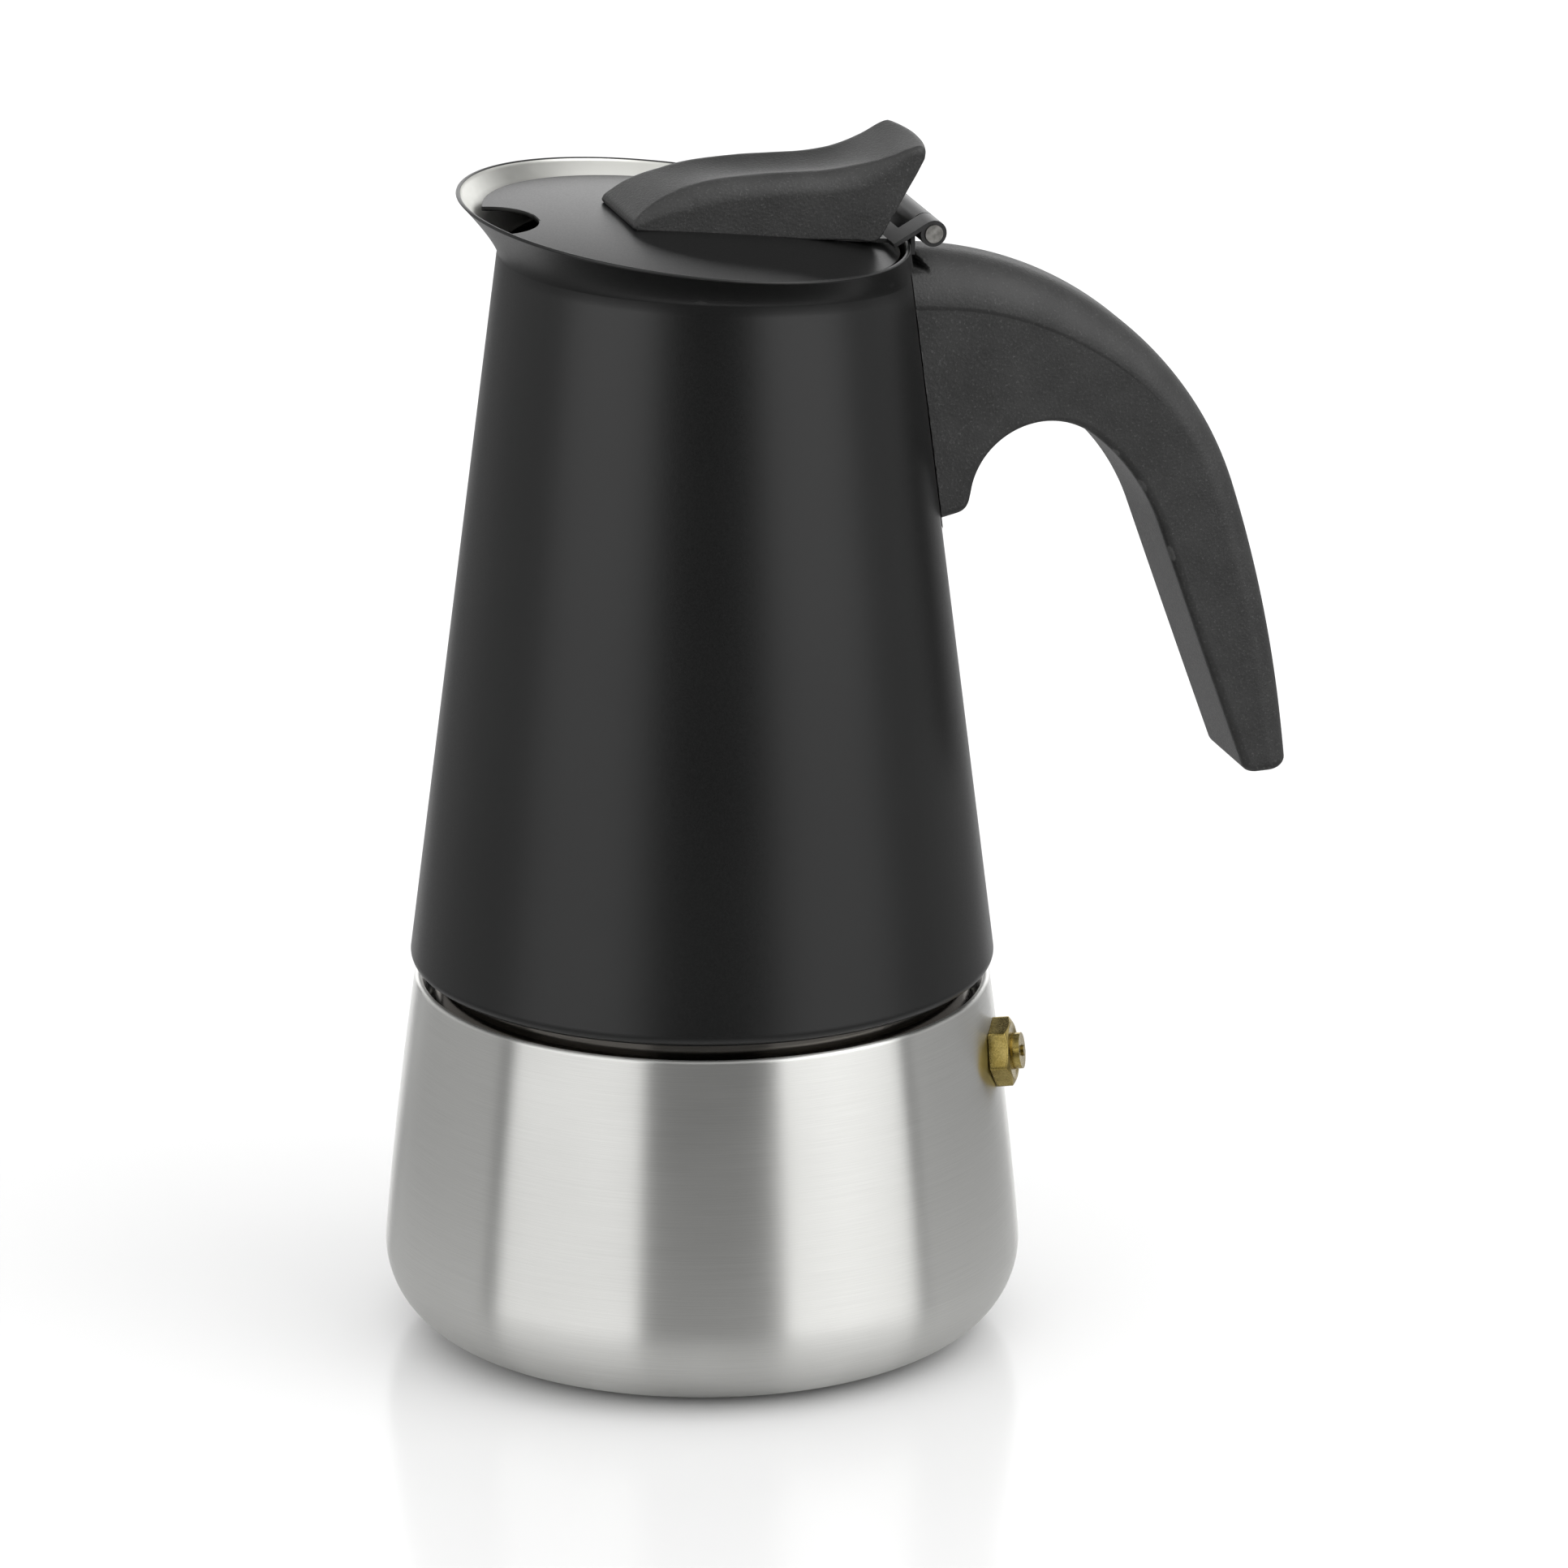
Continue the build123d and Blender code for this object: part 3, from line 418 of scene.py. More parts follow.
nodeFinish = {
    "boiler_neck": shadedNeckSteel, "funnel": innerSteel, "funnel_screen": innerSteel, "filter_plate": innerSteel,
    "filter_gasket": silicone, "thread_ring": innerSteel, "jug_floor": innerSteel, "riser_column": innerSteel,
    "column_cap": innerSteel, "handle_bracket": innerSteel, "handle_screw": zinc, "knob_screws": zinc,
    "hinge_bracket": blackSheet, "lid_hinge_leaf": blackSheet, "hinge_pin": pinSteel, "valve_washer": silicone,
    "valve_nut": brass, "valve_body": brass, "valve_cap": brass, "valve_plunger": brass,
    "valve_spring": springSteel, "boiler_shell": steel, "jug_shell": blackCoat, "handle": blackPlastic,
    "lid_disc": blackCoat, "lid_knob": blackPlastic,
}
for nodeName, material in nodeFinish.items():
    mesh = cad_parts[nodeName].data
    mesh.materials.clear()
    mesh.materials.append(material)


def dress(piece, body, slotName, materials, *nodes):
    for material in materials:
        piece.data.materials.append(material)
    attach(piece, body)
    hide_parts(*nodes)
    return piece


boilerSizes = {
    "flatRadius": 38.3, "cornerRadius": 14.2, "lean": 4.9, "mouthRadius": 47.5, "height": 60.2,
    "wall": 0.8, "rimWidth": 1.3, "rimDepth": 1.8,
}


def boilerProfile(b):
    # (radius, height): floor, corner arc, leaning wall arc, rolled rim, then the same inside, a wall further in
    lean = math.radians(b["lean"])
    rimTop = b["height"] - b["rimWidth"] / 2
    corner = arc((b["flatRadius"], b["cornerRadius"]), b["cornerRadius"], -90, b["lean"], 30)
    upWall = (-math.sin(lean), math.cos(lean))
    wall = tangentArc(corner[-1], upWall, (b["mouthRadius"], rimTop), 40)
    rimFoot = b["height"] - b["rimDepth"] - (b["rimWidth"] - b["wall"])
    rim = arc((b["mouthRadius"] - b["rimWidth"] / 2, rimTop), b["rimWidth"] / 2, 0, 180, 12)
    lip = np.array([[b["mouthRadius"] - b["rimWidth"], b["height"] - b["rimDepth"]]])
    tangents = np.gradient(wall, axis=0)
    inward = np.stack([-tangents[:, 1], tangents[:, 0]], -1) / np.linalg.norm(tangents, axis=1, keepdims=True)
    inner = (wall + inward * b["wall"])[::-1]
    inner = inner[inner[:, 1] < rimFoot]
    cornerCentre = (b["flatRadius"], b["cornerRadius"])
    innerCorner = arc(cornerCentre, b["cornerRadius"] - b["wall"], b["lean"], -90, 20)
    floorOut = np.stack([np.linspace(0.4, b["flatRadius"] - 0.3, 12), np.zeros(12)], -1)
    floorIn = np.stack([np.linspace(b["flatRadius"] - 0.3, 0.4, 12), np.full(12, b["wall"])], -1)
    return np.concatenate([floorOut, corner, wall[1:], rim[1:], lip, inner, innerCorner[1:], floorIn])


boiler = surface("boiler_wall", turned(boilerProfile(boilerSizes), 288), capEnds=True)
dress(boiler, "boiler", "brushed_steel", [steel], "boiler_shell")
print("boiler made")


jugSizes = {
    "base": 62.6, "footRadius": 48.05, "footRounding": 1.75, "slope": 13.8 / 111.8, "wall": 0.7, "tilt": 6.9,
    "mouth": 188.2, "flare": 5.5, "flareAtSpout": 3.1, "flareBend": 1.3, "rimCentre": -3.25,
    "flareLong": 4.0874, "flareCross": 7.2374, "rollHeight": 0.3,
    "creaseWidth": 2.6, "creaseLength": 1.5, "creaseDepth": 0.22, "creaseBelowRim": 2.2,
}
tilt = math.radians(jugSizes["tilt"])
mouthX = np.array([math.cos(tilt), 0, -math.sin(tilt)])
mouthUp = np.array([math.sin(tilt), 0, math.cos(tilt)])
acrossY = np.array([0.0, 1.0, 0.0])
coneStart = jugSizes["base"] + jugSizes["footRounding"]


def coneRadius(z):
    return jugSizes["footRadius"] - (z - coneStart) * jugSizes["slope"]


def mouthRing(share, inset, t):
    # an ellipse in the slanted plane at a share of the flare's height; its half-lengths and centre go
    # from those of the cone's slanted cut to those of the rim with share to the power of the flare's bend
    j = jugSizes
    slant = j["slope"] * math.tan(tilt)
    # the flare is deepest under the spout, where cos t is -1
    flare = j["flare"] + j["flareAtSpout"] * np.cos(t) * (np.cos(t) - 1) / 2
    reach = coneRadius(j["mouth"] - flare / math.cos(tilt)) - inset
    level = coneRadius(j["mouth"])
    blend = share ** j["flareBend"]
    longLow, crossLow = reach / (1 - slant**2) / math.cos(tilt), reach / math.sqrt(1 - slant**2)
    centreLow = reach * slant / (1 - slant**2) / math.cos(tilt) + flare * math.tan(tilt)
    longHalf = longLow + (level + j["flareLong"] - inset - longLow) * blend
    crossHalf = crossLow + (level + j["flareCross"] - inset - crossLow) * blend
    centre = centreLow + (j["rimCentre"] - centreLow) * blend
    origin = np.array([0, 0, j["mouth"]]) - mouthUp * (flare * (1 - share))[:, None]
    along = (centre + longHalf * np.cos(t))[..., None] * mouthX
    return origin + along + (crossHalf * np.sin(t))[..., None] * acrossY


def jugRows(count):
    # rows from the foot's inner edge up the inside, over the rim and down the outside
    j = jugSizes
    t = np.linspace(0, 2 * np.pi, count, endpoint=False)
    shares = np.concatenate([np.linspace(0, 0.3, 9) ** 1.5 / 0.3**0.5, np.linspace(0.3, 1, 16)[1:]])

    def side(inset):
        flare = np.stack([mouthRing(s, inset, t) for s in shares])
        neck = flare[0]
        direction = neck[:, :2] / np.linalg.norm(neck[:, :2], axis=1, keepdims=True)
        foot = direction * (j["footRadius"] - inset)
        foot = np.concatenate([foot, np.full((count, 1), coneStart)], 1)
        f = np.concatenate([[0, 0.003], np.linspace(0.02, 0.985, 40)])[:, None, None]
        cone = foot + f * (neck - foot)
        start = (j["footRadius"] - j["footRounding"] - inset, j["base"])
        bend = tangentArc(start, (1, 0), (j["footRadius"] - inset, coneStart), 9)[:-1]
        toeHeight = np.broadcast_to(bend[:, None, 1:], (len(bend), count, 1))
        toe = np.concatenate([bend[:, None, :1] * direction, toeHeight], -1)
        return np.concatenate([toe, cone, flare])

    outside, inside = side(0.0), side(j["wall"])
    # a shallow oval dent inside the spout's tip guides the stream
    flareRows = len(shares)
    y = inside[-flareRows:, :, 1]
    far = np.where(inside[-flareRows:, :, 0] < 0, 1.0, 0.0)
    up = np.linspace(-8, 0, flareRows)[:, None] + j["creaseBelowRim"]
    acrossDent = np.exp(-((y / j["creaseWidth"]) ** 4))
    dent = j["creaseDepth"] * far * acrossDent * np.exp(-((up / j["creaseLength"]) ** 4))
    inside[-flareRows:] -= dent[..., None] * mouthX
    # rolled edge: a half ellipse from the inner rim to the outer one
    a = np.radians(np.linspace(180, 0, 9)[1:-1])[:, None, None]
    middle, half = (inside[-1] + outside[-1]) / 2, (outside[-1] - inside[-1]) / 2
    roll = middle + np.cos(a) * half + np.sin(a) * mouthUp * j["rollHeight"]
    return np.concatenate([inside, roll, outside[::-1]]), len(inside), len(roll)


jugGrid, insideRows, rollRows = jugRows(320)
steelRows = np.zeros(len(jugGrid), int)
steelRows[:insideRows] = 1  # the coating ends at the rolled edge
jug = surface("jug_wall", jugGrid, closeRows=True, rowMaterial=steelRows, flip=True)
dress(jug, "jug", "black_coating", [blackCoat, bareMouth], "jug_shell")
print("jug made")


lidSizes = {
    "radius": 34.2, "centre": -1.9, "height": 186.85, "dome": 1.9, "thickness": 0.7, "edgeBevel": 0.18,
    "notchHalf": 8.8, "notchDepth": 7.7, "notchCorner": 8.0, "innerRing": 19.0,
}


def lidPoint(x, y):
    # the dome is part of a sphere: height falls from the dome's rise at the middle to zero at the edge
    s = lidSizes
    ball = (s["radius"] ** 2 + s["dome"] ** 2) / (2 * s["dome"])
    rise = np.sqrt(ball**2 - x**2 - y**2) - (ball - s["dome"])
    origin = np.array([0, 0, s["height"]])
    along = (x + s["centre"])[..., None] * mouthX
    return origin + along + y[..., None] * acrossY + rise[..., None] * mouthUp


def lidGrid(count, rings):
    # outline: the lid's edge, then two arcs round the notch; it is paired point by point with a round
    # ring inside it, and straight steps between the two make the rows
    s = lidSizes
    r, flat = s["notchCorner"], s["notchHalf"] - s["notchCorner"]
    arcCentre = s["notchDepth"] - s["radius"] - r
    # the notch's arc, centred at (arcCentre, flat), meets the lid's circle where both radii end
    away = math.hypot(arcCentre, flat)
    cosine = (s["radius"] ** 2 + away**2 - r**2) / (2 * s["radius"] * away)
    fromCentre = math.degrees(math.acos(cosine))
    meet = math.degrees(math.atan2(flat, arcCentre)) - fromCentre
    big = arc((0, 0), s["radius"], -meet, meet, count)
    start = math.degrees(math.atan2(big[-1, 1] - flat, big[-1, 0] - arcCentre))
    upper = arc((arcCentre, flat), r, start, 0, 22)[1:]
    outline = np.concatenate([big, upper, upper[::-1] * (1, -1)])
    # the ring's angles: the lid's edge takes all but the part behind the notch
    ringAngles = np.concatenate([np.linspace(-132, 132, len(big)), np.linspace(134, 226, 2 * len(upper))])
    ringAngles = np.radians(ringAngles)
    ring = np.stack([np.cos(ringAngles), np.sin(ringAngles)], -1) * s["innerRing"]
    v = np.concatenate([[0, 0.012], np.linspace(0.04, 1, rings)])[:, None, None]
    middleRows = ring * np.linspace(0.9, 0.03, 12)[:, None, None]
    flatGrid = np.concatenate([outline + v * (ring - outline), middleRows])
    return lidPoint(flatGrid[..., 0], flatGrid[..., 1])


def lidSurface(name, grid):
    # the grid's quads, and a fan that closes the small hole at the middle
    rows, columns = grid.shape[:2]
    here = np.arange(columns)
    last = (rows - 1) * columns
    fan = np.stack([np.full(columns, rows * columns), last + here, last + (here + 1) % columns], -1)
    points = np.concatenate([grid.reshape(-1, 3), [grid[-1].mean(0)]])
    return addMesh(name, points, gridQuads(rows, columns), fan)


lid = lidSurface("lid_plate", lidGrid(240, 16))
shell = lid.modifiers.new("thickness", "SOLIDIFY")
shell.thickness = lidSizes["thickness"] * mm
shell.offset = -1
shell.use_even_offset = True
edgeBevel = lid.modifiers.new("edge", "BEVEL")
edgeBevel.width = lidSizes["edgeBevel"] * mm
edgeBevel.segments = 2
edgeBevel.angle_limit = math.radians(50)
dress(lid, "lid", "black_coating", [blackCoat], "lid_disc")
print("lid made")


knobSizes = {
    "halfWidth": 9.5, "edge": 3.4, "tabEdge": 1.1, "lowEdge": 0.4, "dip": 1.0, "endRounding": 1.2,
    "endBulge": 1.6,
}


def smoothCurve(points, shares):
    # Catmull-Rom curve through the points, read at shares of the length of the chain of points
    p = np.asarray(points, float)
    p = np.concatenate([[2 * p[0] - p[1]], p, [2 * p[-1] - p[-2]]])
    steps = np.linalg.norm(np.diff(p[1:-1], axis=0), axis=1)
    along = np.concatenate([[0], np.cumsum(steps)])
    d = np.asarray(shares) * along[-1]
    i = np.clip(np.searchsorted(along, d, side="right") - 1, 0, len(steps) - 1)
    s = ((d - along[i]) / steps[i])[:, None]
    a, b, c, e = p[i], p[i + 1], p[i + 2], p[i + 3]
    return 0.5 * (2 * b + (c - a) * s + (2 * a - 5 * b + 4 * c - e) * s**2 + (3 * b - a - 3 * c + e) * s**3)


def leverSections(
    top, low, halfWidth, crownWide, crownTall, lowRound, dip=0.0, step=0.0, flat=14, bend=16, wallRows=24
):
    # at each station a closed loop between its top and its low point: across the top with a dip in
    # the middle, round a quarter ellipse, over a small step, down the side, round the lower edge and
    # back underneath. y is the distance from the middle and d the depth below the top.
    span = low - top
    height = np.linalg.norm(span, axis=1)
    down = span / height[:, None]

    def column(value):
        return np.broadcast_to(np.asarray(value, float), height.shape)[:, None]

    tall = np.minimum(column(crownTall), height[:, None] * 0.5)
    wide = column(crownWide)
    lowRound = np.minimum(column(lowRound), height[:, None] * 0.3)
    halfWidth, dip, side = column(halfWidth), column(dip), column(halfWidth) - column(step)
    across = np.linspace(0, 1, flat)[None]
    y1 = across * (halfWidth - wide)
    d1 = dip * (1 - across**2) + 0 * y1
    a = np.linspace(0, np.pi / 2, bend + 1)[1:][None]
    y2 = halfWidth - wide + wide * np.sin(a)
    d2 = tall * (1 - np.cos(a))
    f = np.concatenate([[0.004, 0.012, 0.03], np.linspace(0.06, 0.97, wallRows), [0.99]])[None]
    y3 = side + 0 * f
    d3 = tall + f * (height[:, None] - tall - lowRound)
    b = np.linspace(0, np.pi / 2, 9)[None]
    y4 = side - lowRound + lowRound * np.cos(b)
    d4 = height[:, None] - lowRound + lowRound * np.sin(b)
    back = np.linspace(1, 0, flat)[None, 1:]
    y5 = back * (side - lowRound)
    d5 = height[:, None] + 0 * y5
    y = np.concatenate([y1, y2, y3, y4, y5], 1)
    d = np.concatenate([d1, d2, d3, d4, d5], 1)
    y = np.concatenate([y, -y[:, -2:0:-1]], 1)
    d = np.concatenate([d, d[:, -2:0:-1]], 1)
    return np.stack([top[:, :1] + down[:, :1] * d, y, top[:, 1:] + down[:, 1:] * d], -1)


def softEnd(grid, radius, atStart=False):
    # rows nearer the end than the radius shrink towards their middle by r - sqrt(r^2 - (r - distance)^2)
    rows = grid if atStart else grid[::-1]
    middle = rows.mean(1)
    away = np.concatenate([[0], np.cumsum(np.linalg.norm(np.diff(middle, axis=0), axis=1))])
    r = np.clip(radius - away, 0, radius)
    inset = (radius - np.sqrt(radius**2 - r**2))[:, None, None]
    offset = rows - middle[:, None]
    size = np.abs(offset).max(1)[:, None, :]
    size[..., 0] = size[..., 2] = np.linalg.norm(offset[..., [0, 2]], axis=2).max(1)[:, None]
    rows = middle[:, None] + offset * (1 - inset / np.maximum(size, 0.01))
    return rows if atStart else rows[::-1]


def endShares(count, near=0.02, extra=14):
    # even shares of the length, with more of them close to both ends
    fine = near * np.linspace(0, 1, extra) ** 1.6
    shares = np.concatenate([np.linspace(near, 1 - near, count), fine[:-1], 1 - fine[:-1]])
    return np.unique(np.round(shares, 7))


# the lever's outline from its nose to its tab, as (x, height), above and below
knobTop = [
    (-14.3, 191.2), (-13.4, 192.1), (-10.7, 193.9), (-6.8, 195.4), (-0.7, 196.7), (7.4, 197.1), (13.4, 197.0),
    (19.5, 196.9), (25.0, 197.5), (29.3, 198.6), (32.4, 199.9), (34.1, 200.3), (35.0, 199.9), (35.3, 199.0),
]
knobLow = [
    (-14.25, 190.15), (-13.9, 190.0), (-10.0, 189.5), (-6.0, 189.0), (-0.9, 188.35), (6.0, 187.4),
    (10.1, 186.9), (15.0, 186.2), (20.0, 185.75), (23.5, 185.4), (26.9, 185.15), (29.4, 188.8),
    (33.2, 195.2), (34.4, 197.0),
]


def knobGrid():
    k = knobSizes
    share = endShares(110)
    top, low = smoothCurve(knobTop, share), smoothCurve(knobLow, share)
    dip = k["dip"] * np.sin(np.pi * np.clip((share - 0.15) / 0.75, 0, 1)) ** 1.3
    tab = np.clip((share - 0.75) / 0.2, 0, 1)
    nose = np.clip(share / 0.2, 0, 1)
    wide = (k["edge"] + (k["tabEdge"] - k["edge"]) * tab) * (0.35 + 0.65 * nose)
    grid = leverSections(top, low, k["halfWidth"], wide, wide, k["lowEdge"], dip)
    grid = softEnd(softEnd(grid, k["endRounding"]), k["endRounding"] * 0.5, True)
    # the thumb tab's end bows out: the middle stands further back than the corners
    late = np.clip((share - 0.84) / 0.16, 0, 1)[:, None]
    grid[..., 0] += k["endBulge"] * (1 - (grid[..., 1] / k["halfWidth"]) ** 2) * late**2 * (3 - 2 * late)
    return grid


knob = surface("knob_lever", knobGrid(), capEnds=True, flip=True)
dress(knob, "lid", "black_plastic", [blackPlastic], "lid_knob")
print("knob made")


handleSizes = {
    "halfWidth": 9.6, "crownWide": 5.4, "crownWideAtWall": 8.6, "crownAtWall": 8.4, "crownAtGrip": 4.8,
    "innerRound": 1.4, "gap": 0.2, "stepDepth": 0.2, "endRounding": 1.6,
    "windowDepth": 2.2, "windowTop": (33.9, 182.3), "windowFoot": (36.4, 178.8), "windowFloor": 178.9,
}


def threePointArc(first, second, third, count):
    # the circle through three points, walked from the first to the third
    (ax, ay), (bx, by), (cx, cy) = first, second, third
    m = np.array([[bx - ax, by - ay], [cx - ax, cy - ay]])
    squares = np.array([bx**2 - ax**2 + by**2 - ay**2, cx**2 - ax**2 + cy**2 - ay**2])
    centre = np.linalg.solve(m, squares / 2)
    a = np.degrees(np.arctan2([ay - centre[1], cy - centre[1]], [ax - centre[0], cx - centre[0]]))
    return arc(centre, math.dist(first, centre), a[0], a[1], count)


backArch = threePointArc((30.0, 181.7), (69.4, 167.7), (90.1, 136.8), 60)
backGrip = tangentArc(backArch[-1], backArch[-1] - backArch[-2], (99.5, 88.5), 40)
handleBack = np.concatenate([backArch, backGrip[1:]])
innerArch = arc((56.1, 138.8), 13.15, 172, 50, 40)
footCorners = np.array([(30.0, 135.1), (42.6, 137.9), innerArch[0] - innerArch[1] + innerArch[0]])
innerFoot = roundedLine(footCorners, [1.6], 10, 1.0)
archEnd = math.radians(50)
innerTurn = tangentArc(innerArch[-1], (math.sin(archEnd), -math.cos(archEnd)), (76.2, 131.6), 16)
innerGrip = tangentArc(innerTurn[-1], innerTurn[-1] - innerTurn[-2], (91.4, 88.3), 50)
handleInner = np.concatenate([innerFoot, innerArch, innerTurn[1:], innerGrip[1:]])


def alongLine(points, shares):
    # straight steps between close points, read at shares of the line's length
    along = np.concatenate([[0], np.cumsum(np.linalg.norm(np.diff(points, axis=0), axis=1))])
    return np.stack([np.interp(shares * along[-1], along, points[:, k]) for k in (0, 1)], -1)


def backShares(share):
    # a bent line from share to share, smoothed by averaging it over a short stretch
    innerKnots = [-0.06, 0, 0.06, 0.10, 0.16, 0.30, 0.42, 0.55, 1, 1.06]
    backKnots = [-0.05, 0, 0.05, 0.08, 0.13, 0.36, 0.50, 0.60, 1, 1.0533]
    stretch = np.linspace(-0.045, 0.045, 31)[:, None]
    return np.interp(share[None] + stretch, innerKnots, backKnots).mean(0)


def handleGrid():
    # stations run from the wall to the tip; along the arch the back's share of its length is bent
    # against the inner edge's, so that the line between the two stays square to the handle
    h = handleSizes
    share = endShares(240, 0.06, 30)
    inner = alongLine(handleInner, share)
    back = alongLine(handleBack, backShares(share))
    fade = np.clip((share - 0.05) / 0.45, 0, 1)
    fade = fade**2 * (3 - 2 * fade)
    tall = h["crownAtWall"] + (h["crownAtGrip"] - h["crownAtWall"]) * fade
    wide = h["crownWideAtWall"] + (h["crownWide"] - h["crownWideAtWall"]) * fade
    step = h["stepDepth"] * (1 - fade) ** 2
    grid = leverSections(back, inner, h["halfWidth"], wide, tall, h["innerRound"], 0.0, step, 8, 26, 30)
    grid = softEnd(grid, h["endRounding"])
    x, y, z = grid[..., 0], grid[..., 1], grid[..., 2]
    # a three-sided window beside the strap: inside its three edges the side is pressed in
    (ax, az), (cx, cz) = h["windowTop"], h["windowFoot"]
    inside = (z > h["windowFloor"]) & ((cx - ax) * (z - az) - (cz - az) * (x - ax) < 0)
    grid[..., 1] = np.where(inside, np.clip(y, -h["windowDepth"], h["windowDepth"]), y)
    # the wall end follows the jug: a point inside the cone moves straight out to it, plus the gap
    wall = np.sqrt(np.maximum((coneRadius(z) + h["gap"]) ** 2 - y**2, 0))
    grid[..., 0] = np.maximum(x, wall)
    return grid


handle = surface("handle_grip", handleGrid(), capEnds=True, flip=True)
dress(handle, "jug", "black_plastic", [blackPlastic], "handle")
print("handle made")


valveSizes = {
    "origin": (43.5997, -22.2152, 48.7), "outward": (0.884067, -0.450455, 0.124566),
    "sideways": (0.45399, 0.89101, 0.0),
    "acrossFlats": 10.0, "hexHeight": 3.2, "hexTurn": 12.0, "chamferAt": 4.75, "chamferSlope": 1.9,
    "shank": 3.9, "shankLength": 5.6, "bore": 2.6, "seat": 1.4, "seatThickness": 0.9,
    "springInner": -3.45, "springLength": 5.2, "springRadius": 1.75, "wire": 0.25, "turns": 4.0,
    "lift": 1.2, "liftGap": 0.05,
}
valveOut = np.array(valveSizes["outward"])
valveSide = np.array(valveSizes["sideways"])
valveUp = np.cross(valveOut, valveSide)


def onValve(out, side, up):
    # a place given as distances along the valve's own three directions
    origin = np.array(valveSizes["origin"])
    return origin + out[..., None] * valveOut + side[..., None] * valveSide + up[..., None] * valveUp


def valveBodyGrid(count):
    # a closed profile of (radius, distance out) goes round the valve's axis; on the hexagon's rows the
    # radius at each angle is the flat's, half the width over cos(angle from the flat's middle), cut by
    # a cone near the outer face
    v = valveSizes
    angle = np.linspace(0, 2 * np.pi, count, endpoint=False)
    fromFlat = np.mod(angle - math.radians(v["hexTurn"]), math.pi / 3) - math.pi / 6
    hexagon = v["acrossFlats"] / 2 / np.cos(fromFlat)
    top = v["hexHeight"]
    chamferRows = top - np.linspace(0.04, 0.6, 12)
    heights = np.concatenate([[top], chamferRows, [0.62 * top, 0.3 * top, 0.12, 0.0]])[:, None]
    sides = np.minimum(hexagon[None], v["chamferAt"] + (top - heights) * v["chamferSlope"])
    low = -v["shankLength"]
    seatTop = low + v["seatThickness"]
    ring = np.array([
        (v["seat"], low + 0.05), (v["seat"], seatTop), (v["bore"], seatTop), (v["bore"], top - 0.02),
        (v["bore"], top), (v["chamferAt"] - 0.15, top),
    ])
    foot = np.array([
        (v["shank"] + 0.02, 0.0), (v["shank"], -0.1), (v["shank"], low + 0.3), (v["shank"] - 0.3, low),
        (v["seat"] + 0.05, low),
    ])
    radii = np.concatenate([ring[:, :1] + 0 * angle, sides, foot[:, :1] + 0 * angle])
    out = np.concatenate([ring[:, 1:] + 0 * angle, heights + 0 * angle, foot[:, 1:] + 0 * angle])
    return onValve(out, radii * np.cos(angle), radii * np.sin(angle))


def springGrid(steps, count):
    # a round wire carried along a helix: the wire's circle lies in the outward and the radial direction
    v = valveSizes
    t = np.linspace(0, 2 * np.pi * v["turns"], steps)[:, None]
    a = np.linspace(0, 2 * np.pi, count, endpoint=False)[None]
    radius = v["springRadius"] + v["wire"] * np.cos(a)
    out = v["springInner"] + v["springLength"] * t / t[-1] + v["wire"] * np.sin(a)
    return onValve(out, radius * np.cos(t), radius * np.sin(t))


valveBody = surface("valve_hexagon", valveBodyGrid(144), closeRows=True, flip=True)
dress(valveBody, "boiler", "brass", [brass], "valve_body")
spring = surface("relief_spring", springGrid(160, 12), capEnds=True, flip=True)
dress(spring, "boiler", "spring_steel", [springSteel], "valve_spring")
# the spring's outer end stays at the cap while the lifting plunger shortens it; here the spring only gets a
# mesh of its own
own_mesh(spring)
print("valve made")


stageLooks = {
    "floorSize": 8.0, "floorDrop": 0.0001, "floorRough": 0.16, "floorIor": 1.25,
    "floorColour": (0.64, 0.64, 0.64), "floorInGloss": (0.13, 0.13, 0.13),
    "floorNearInGloss": (0.48, 0.48, 0.48), "nearFrom": 0.07, "nearTo": 0.17,
    "stripTurn": 17, "stripHalf": 0.10, "stripFade": 0.18, "stripStart": 0.08, "stripFull": 0.16,
    "worldInGloss": 0.07, "worldInDiffuse": 0.72,
}
floorMesh = bpy.data.meshes.new("floor")
half = stageLooks["floorSize"] / 2
floorCorners = [(-half, -half, 0), (half, -half, 0), (half, half, 0), (-half, half, 0)]
floorMesh.from_pydata(floorCorners, [], [(0, 1, 2, 3)])
floor = bpy.data.objects.new("floor", floorMesh)
floor.location.z = -stageLooks["floorDrop"]
bpy.context.scene.collection.objects.link(floor)
floorMaterial, tree, shader = nodeTree("pale_floor")
# painted reflection: in gloss rays the floor's colour is dark, but pale close to the object and in a strip
# behind it, painted light that brightens what the object reflects there
stripTurn = math.radians(stageLooks["stripTurn"])
spot = place(tree, "ShaderNodeSeparateXYZ", Vector=objectPoint(tree, (0, 0, stripTurn)))
spotX, spotY = spot.outputs["X"], spot.outputs["Y"]
squares = maths(tree, "ADD", maths(tree, "MULTIPLY", spotX, spotX), maths(tree, "MULTIPLY", spotY, spotY))
reach = maths(tree, "SQRT", squares, 0.0)
near = remap(tree, reach, stageLooks["nearFrom"], stageLooks["nearTo"], 1, 0)
sideways = maths(tree, "ABSOLUTE", spotX, 0.0)
stripWidth = remap(tree, sideways, stageLooks["stripHalf"], stageLooks["stripFade"], 2, 0)
stripBehind = remap(tree, spotY, stageLooks["stripStart"], stageLooks["stripFull"], 0, 1)
strip = maths(tree, "MULTIPLY", stripWidth, stripBehind)
paleGloss = maths(tree, "MAXIMUM", near, strip)
paintedReflectionColour = blendColour(tree, paleGloss, stageLooks["floorInGloss"], stageLooks["floorNearInGloss"])
lightPath = place(tree, "ShaderNodeLightPath")
floorMix = place(tree, "ShaderNodeMix", {"data_type": "RGBA"})
tree.links.new(lightPath.outputs["Is Glossy Ray"], floorMix.inputs[0])
floorMix.inputs[6].default_value = (*stageLooks["floorColour"], 1)
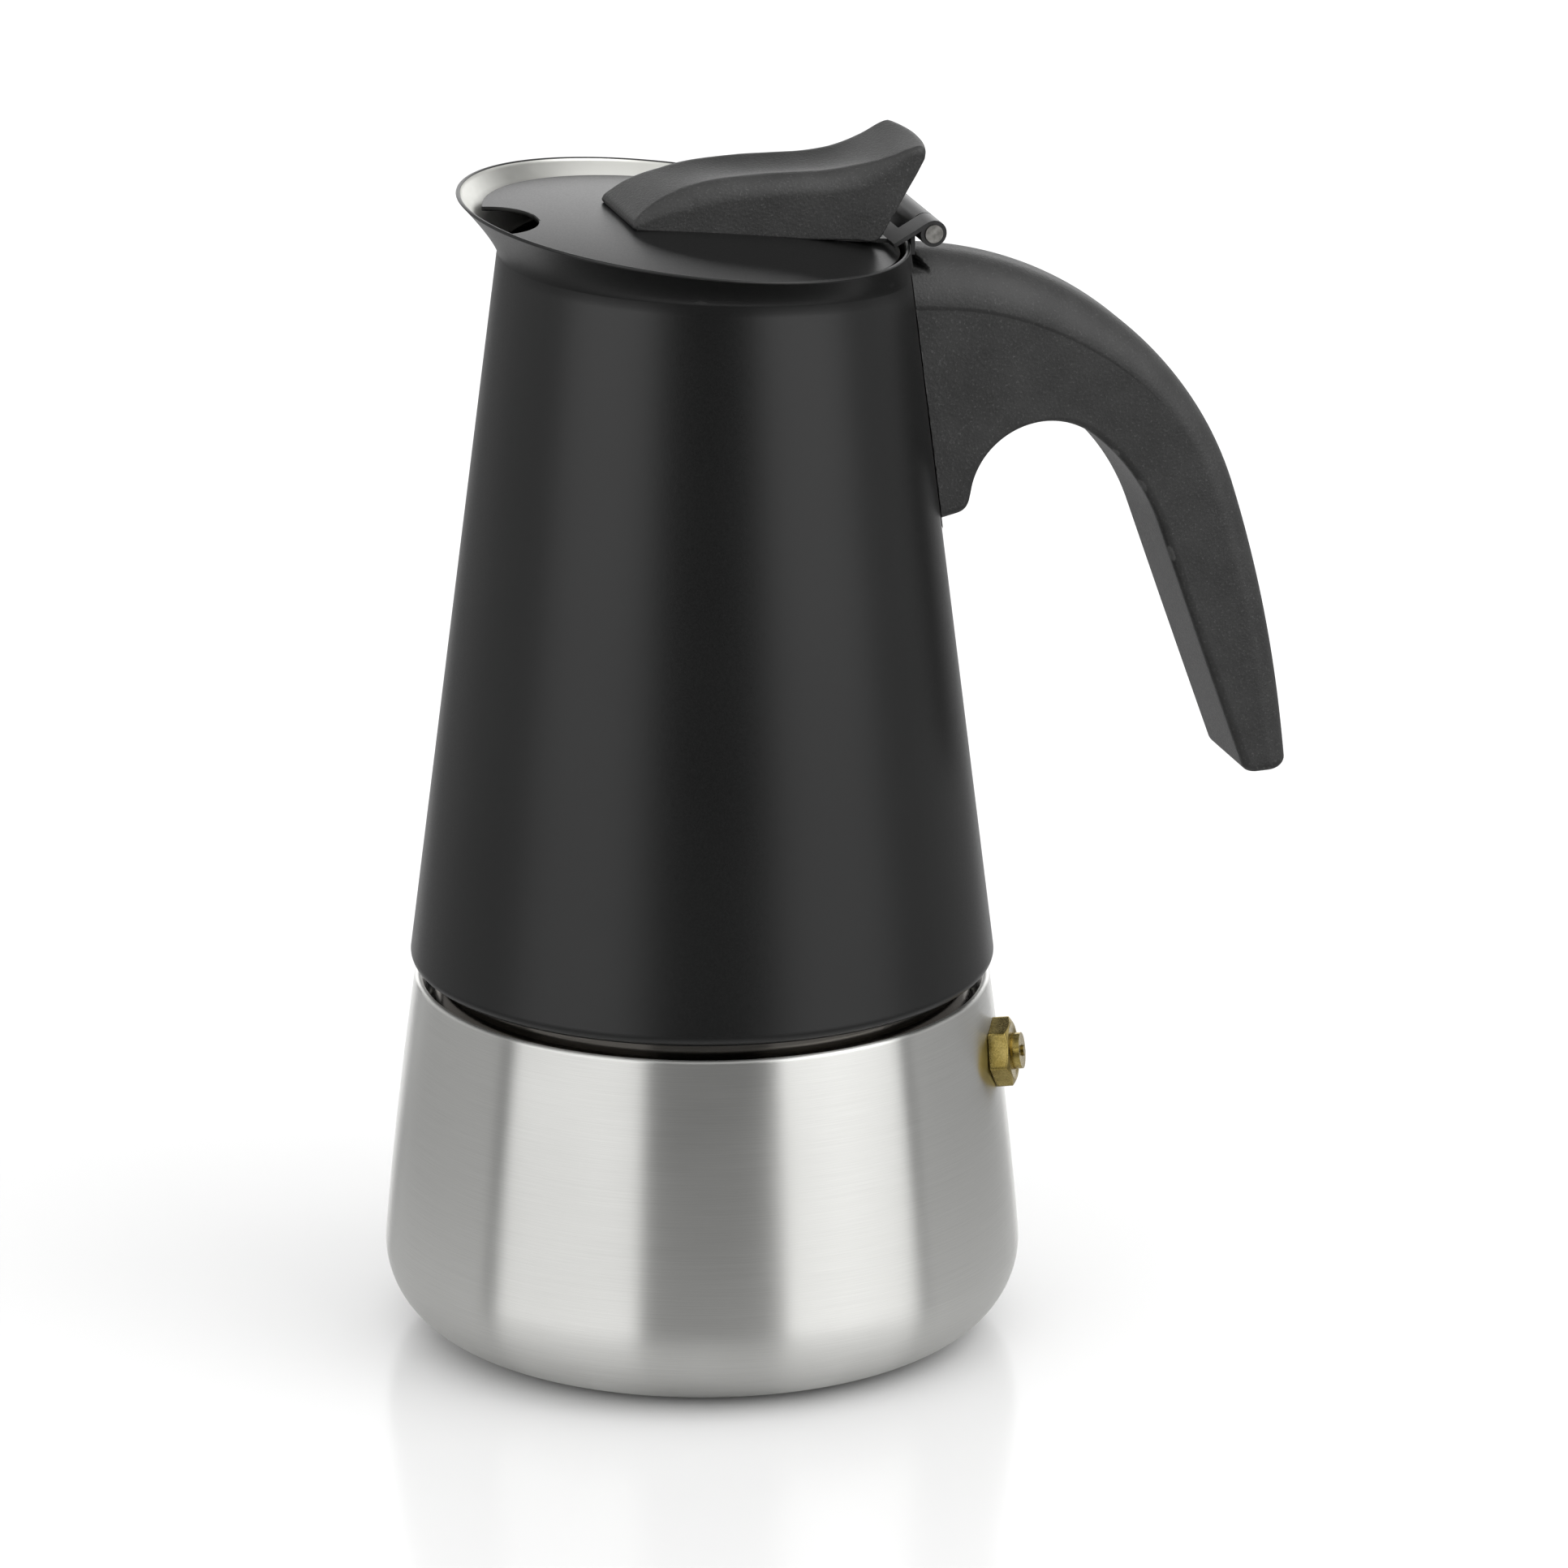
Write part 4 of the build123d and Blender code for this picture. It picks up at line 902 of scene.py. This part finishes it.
tree.links.new(paintedReflectionColour, floorMix.inputs[7])
tree.links.new(floorMix.outputs[2], shader.inputs["Base Color"])
shader.inputs["Roughness"].default_value = stageLooks["floorRough"]
shader.inputs["IOR"].default_value = stageLooks["floorIor"]
floor.data.materials.append(floorMaterial)

world = bpy.data.worlds.new("studio")
bpy.context.scene.world = world
world.use_nodes = True
sky = world.node_tree
sky.nodes["Background"].inputs["Color"].default_value = (1, 1, 1, 1)
skyPath = place(sky, "ShaderNodeLightPath").outputs["Is Diffuse Ray"]
skyStrength = remap(sky, skyPath, 0, 1, stageLooks["worldInGloss"], stageLooks["worldInDiffuse"])
sky.links.new(skyStrength, sky.nodes["Background"].inputs["Strength"])


def softBox(name, azimuth, distance, height, width, tall, radiance):
    # a panel that faces the object, turned by the azimuth from the side it is seen from; its power is
    # radiance x pi x area
    light = bpy.data.lights.new(name, "AREA")
    light.shape = "RECTANGLE"
    light.size, light.size_y = width, tall
    light.energy = radiance * math.pi * width * tall
    panel = bpy.data.objects.new(name, light)
    a = math.radians(azimuth)
    panel.location = (math.sin(a) * distance, -math.cos(a) * distance, height)
    towards = np.array([0, 0, 0.1]) - np.array(panel.location)
    panel.rotation_euler = Vector(towards).to_track_quat("-Z", "Y").to_euler()
    panel.visible_camera = False
    bpy.context.scene.collection.objects.link(panel)
    return panel


cameraSide = -17.0
# azimuth from the camera's side, distance, height, width, tall, radiance
lightPanels = {
    "top_box": (0, 0.25, 1.9, 3.4, 3.4, 0.86),
    "left_box": (-50, 1.5, 0.50, 1.62, 0.9, 2.25),
    "right_box": (56, 1.5, 0.62, 1.60, 1.2, 2.1),
    "left_fill": (-114, 1.6, 0.50, 1.95, 0.9, 0.8),
    "right_fill": (118, 1.6, 0.50, 1.95, 0.9, 0.7),
    "back_box": (180, 2.0, 0.54, 2.2, 1.04, 1.75),
    "crown_box": (78, 1.1, 1.35, 1.1, 0.8, 2.2),
}
for panelName, (turn, *rest) in lightPanels.items():
    softBox(panelName, cameraSide + turn, *rest)

cameraSizes = {"distance": 2.1571, "height": 0.77865, "pitch": 17.65, "lens": 316.25, "shift": 0.0522}
cameraData = bpy.data.cameras.new("camera")
cameraData.sensor_width = 36.0
cameraData.lens = cameraSizes["lens"]
cameraData.shift_x = cameraSizes["shift"]
cameraData.clip_start, cameraData.clip_end = 0.05, 50
camera = bpy.data.objects.new("camera", cameraData)
cameraTurn = math.radians(cameraSide)
cameraAway = cameraSizes["distance"]
camera.location = (math.sin(cameraTurn) * cameraAway, -math.cos(cameraTurn) * cameraAway, cameraSizes["height"])
camera.rotation_euler = (math.radians(90 - cameraSizes["pitch"]), 0, cameraTurn)
bpy.context.scene.collection.objects.link(camera)
bpy.context.scene.camera = camera
bpy.context.scene.view_settings.view_transform = "Standard"
print("stage, light and camera made")
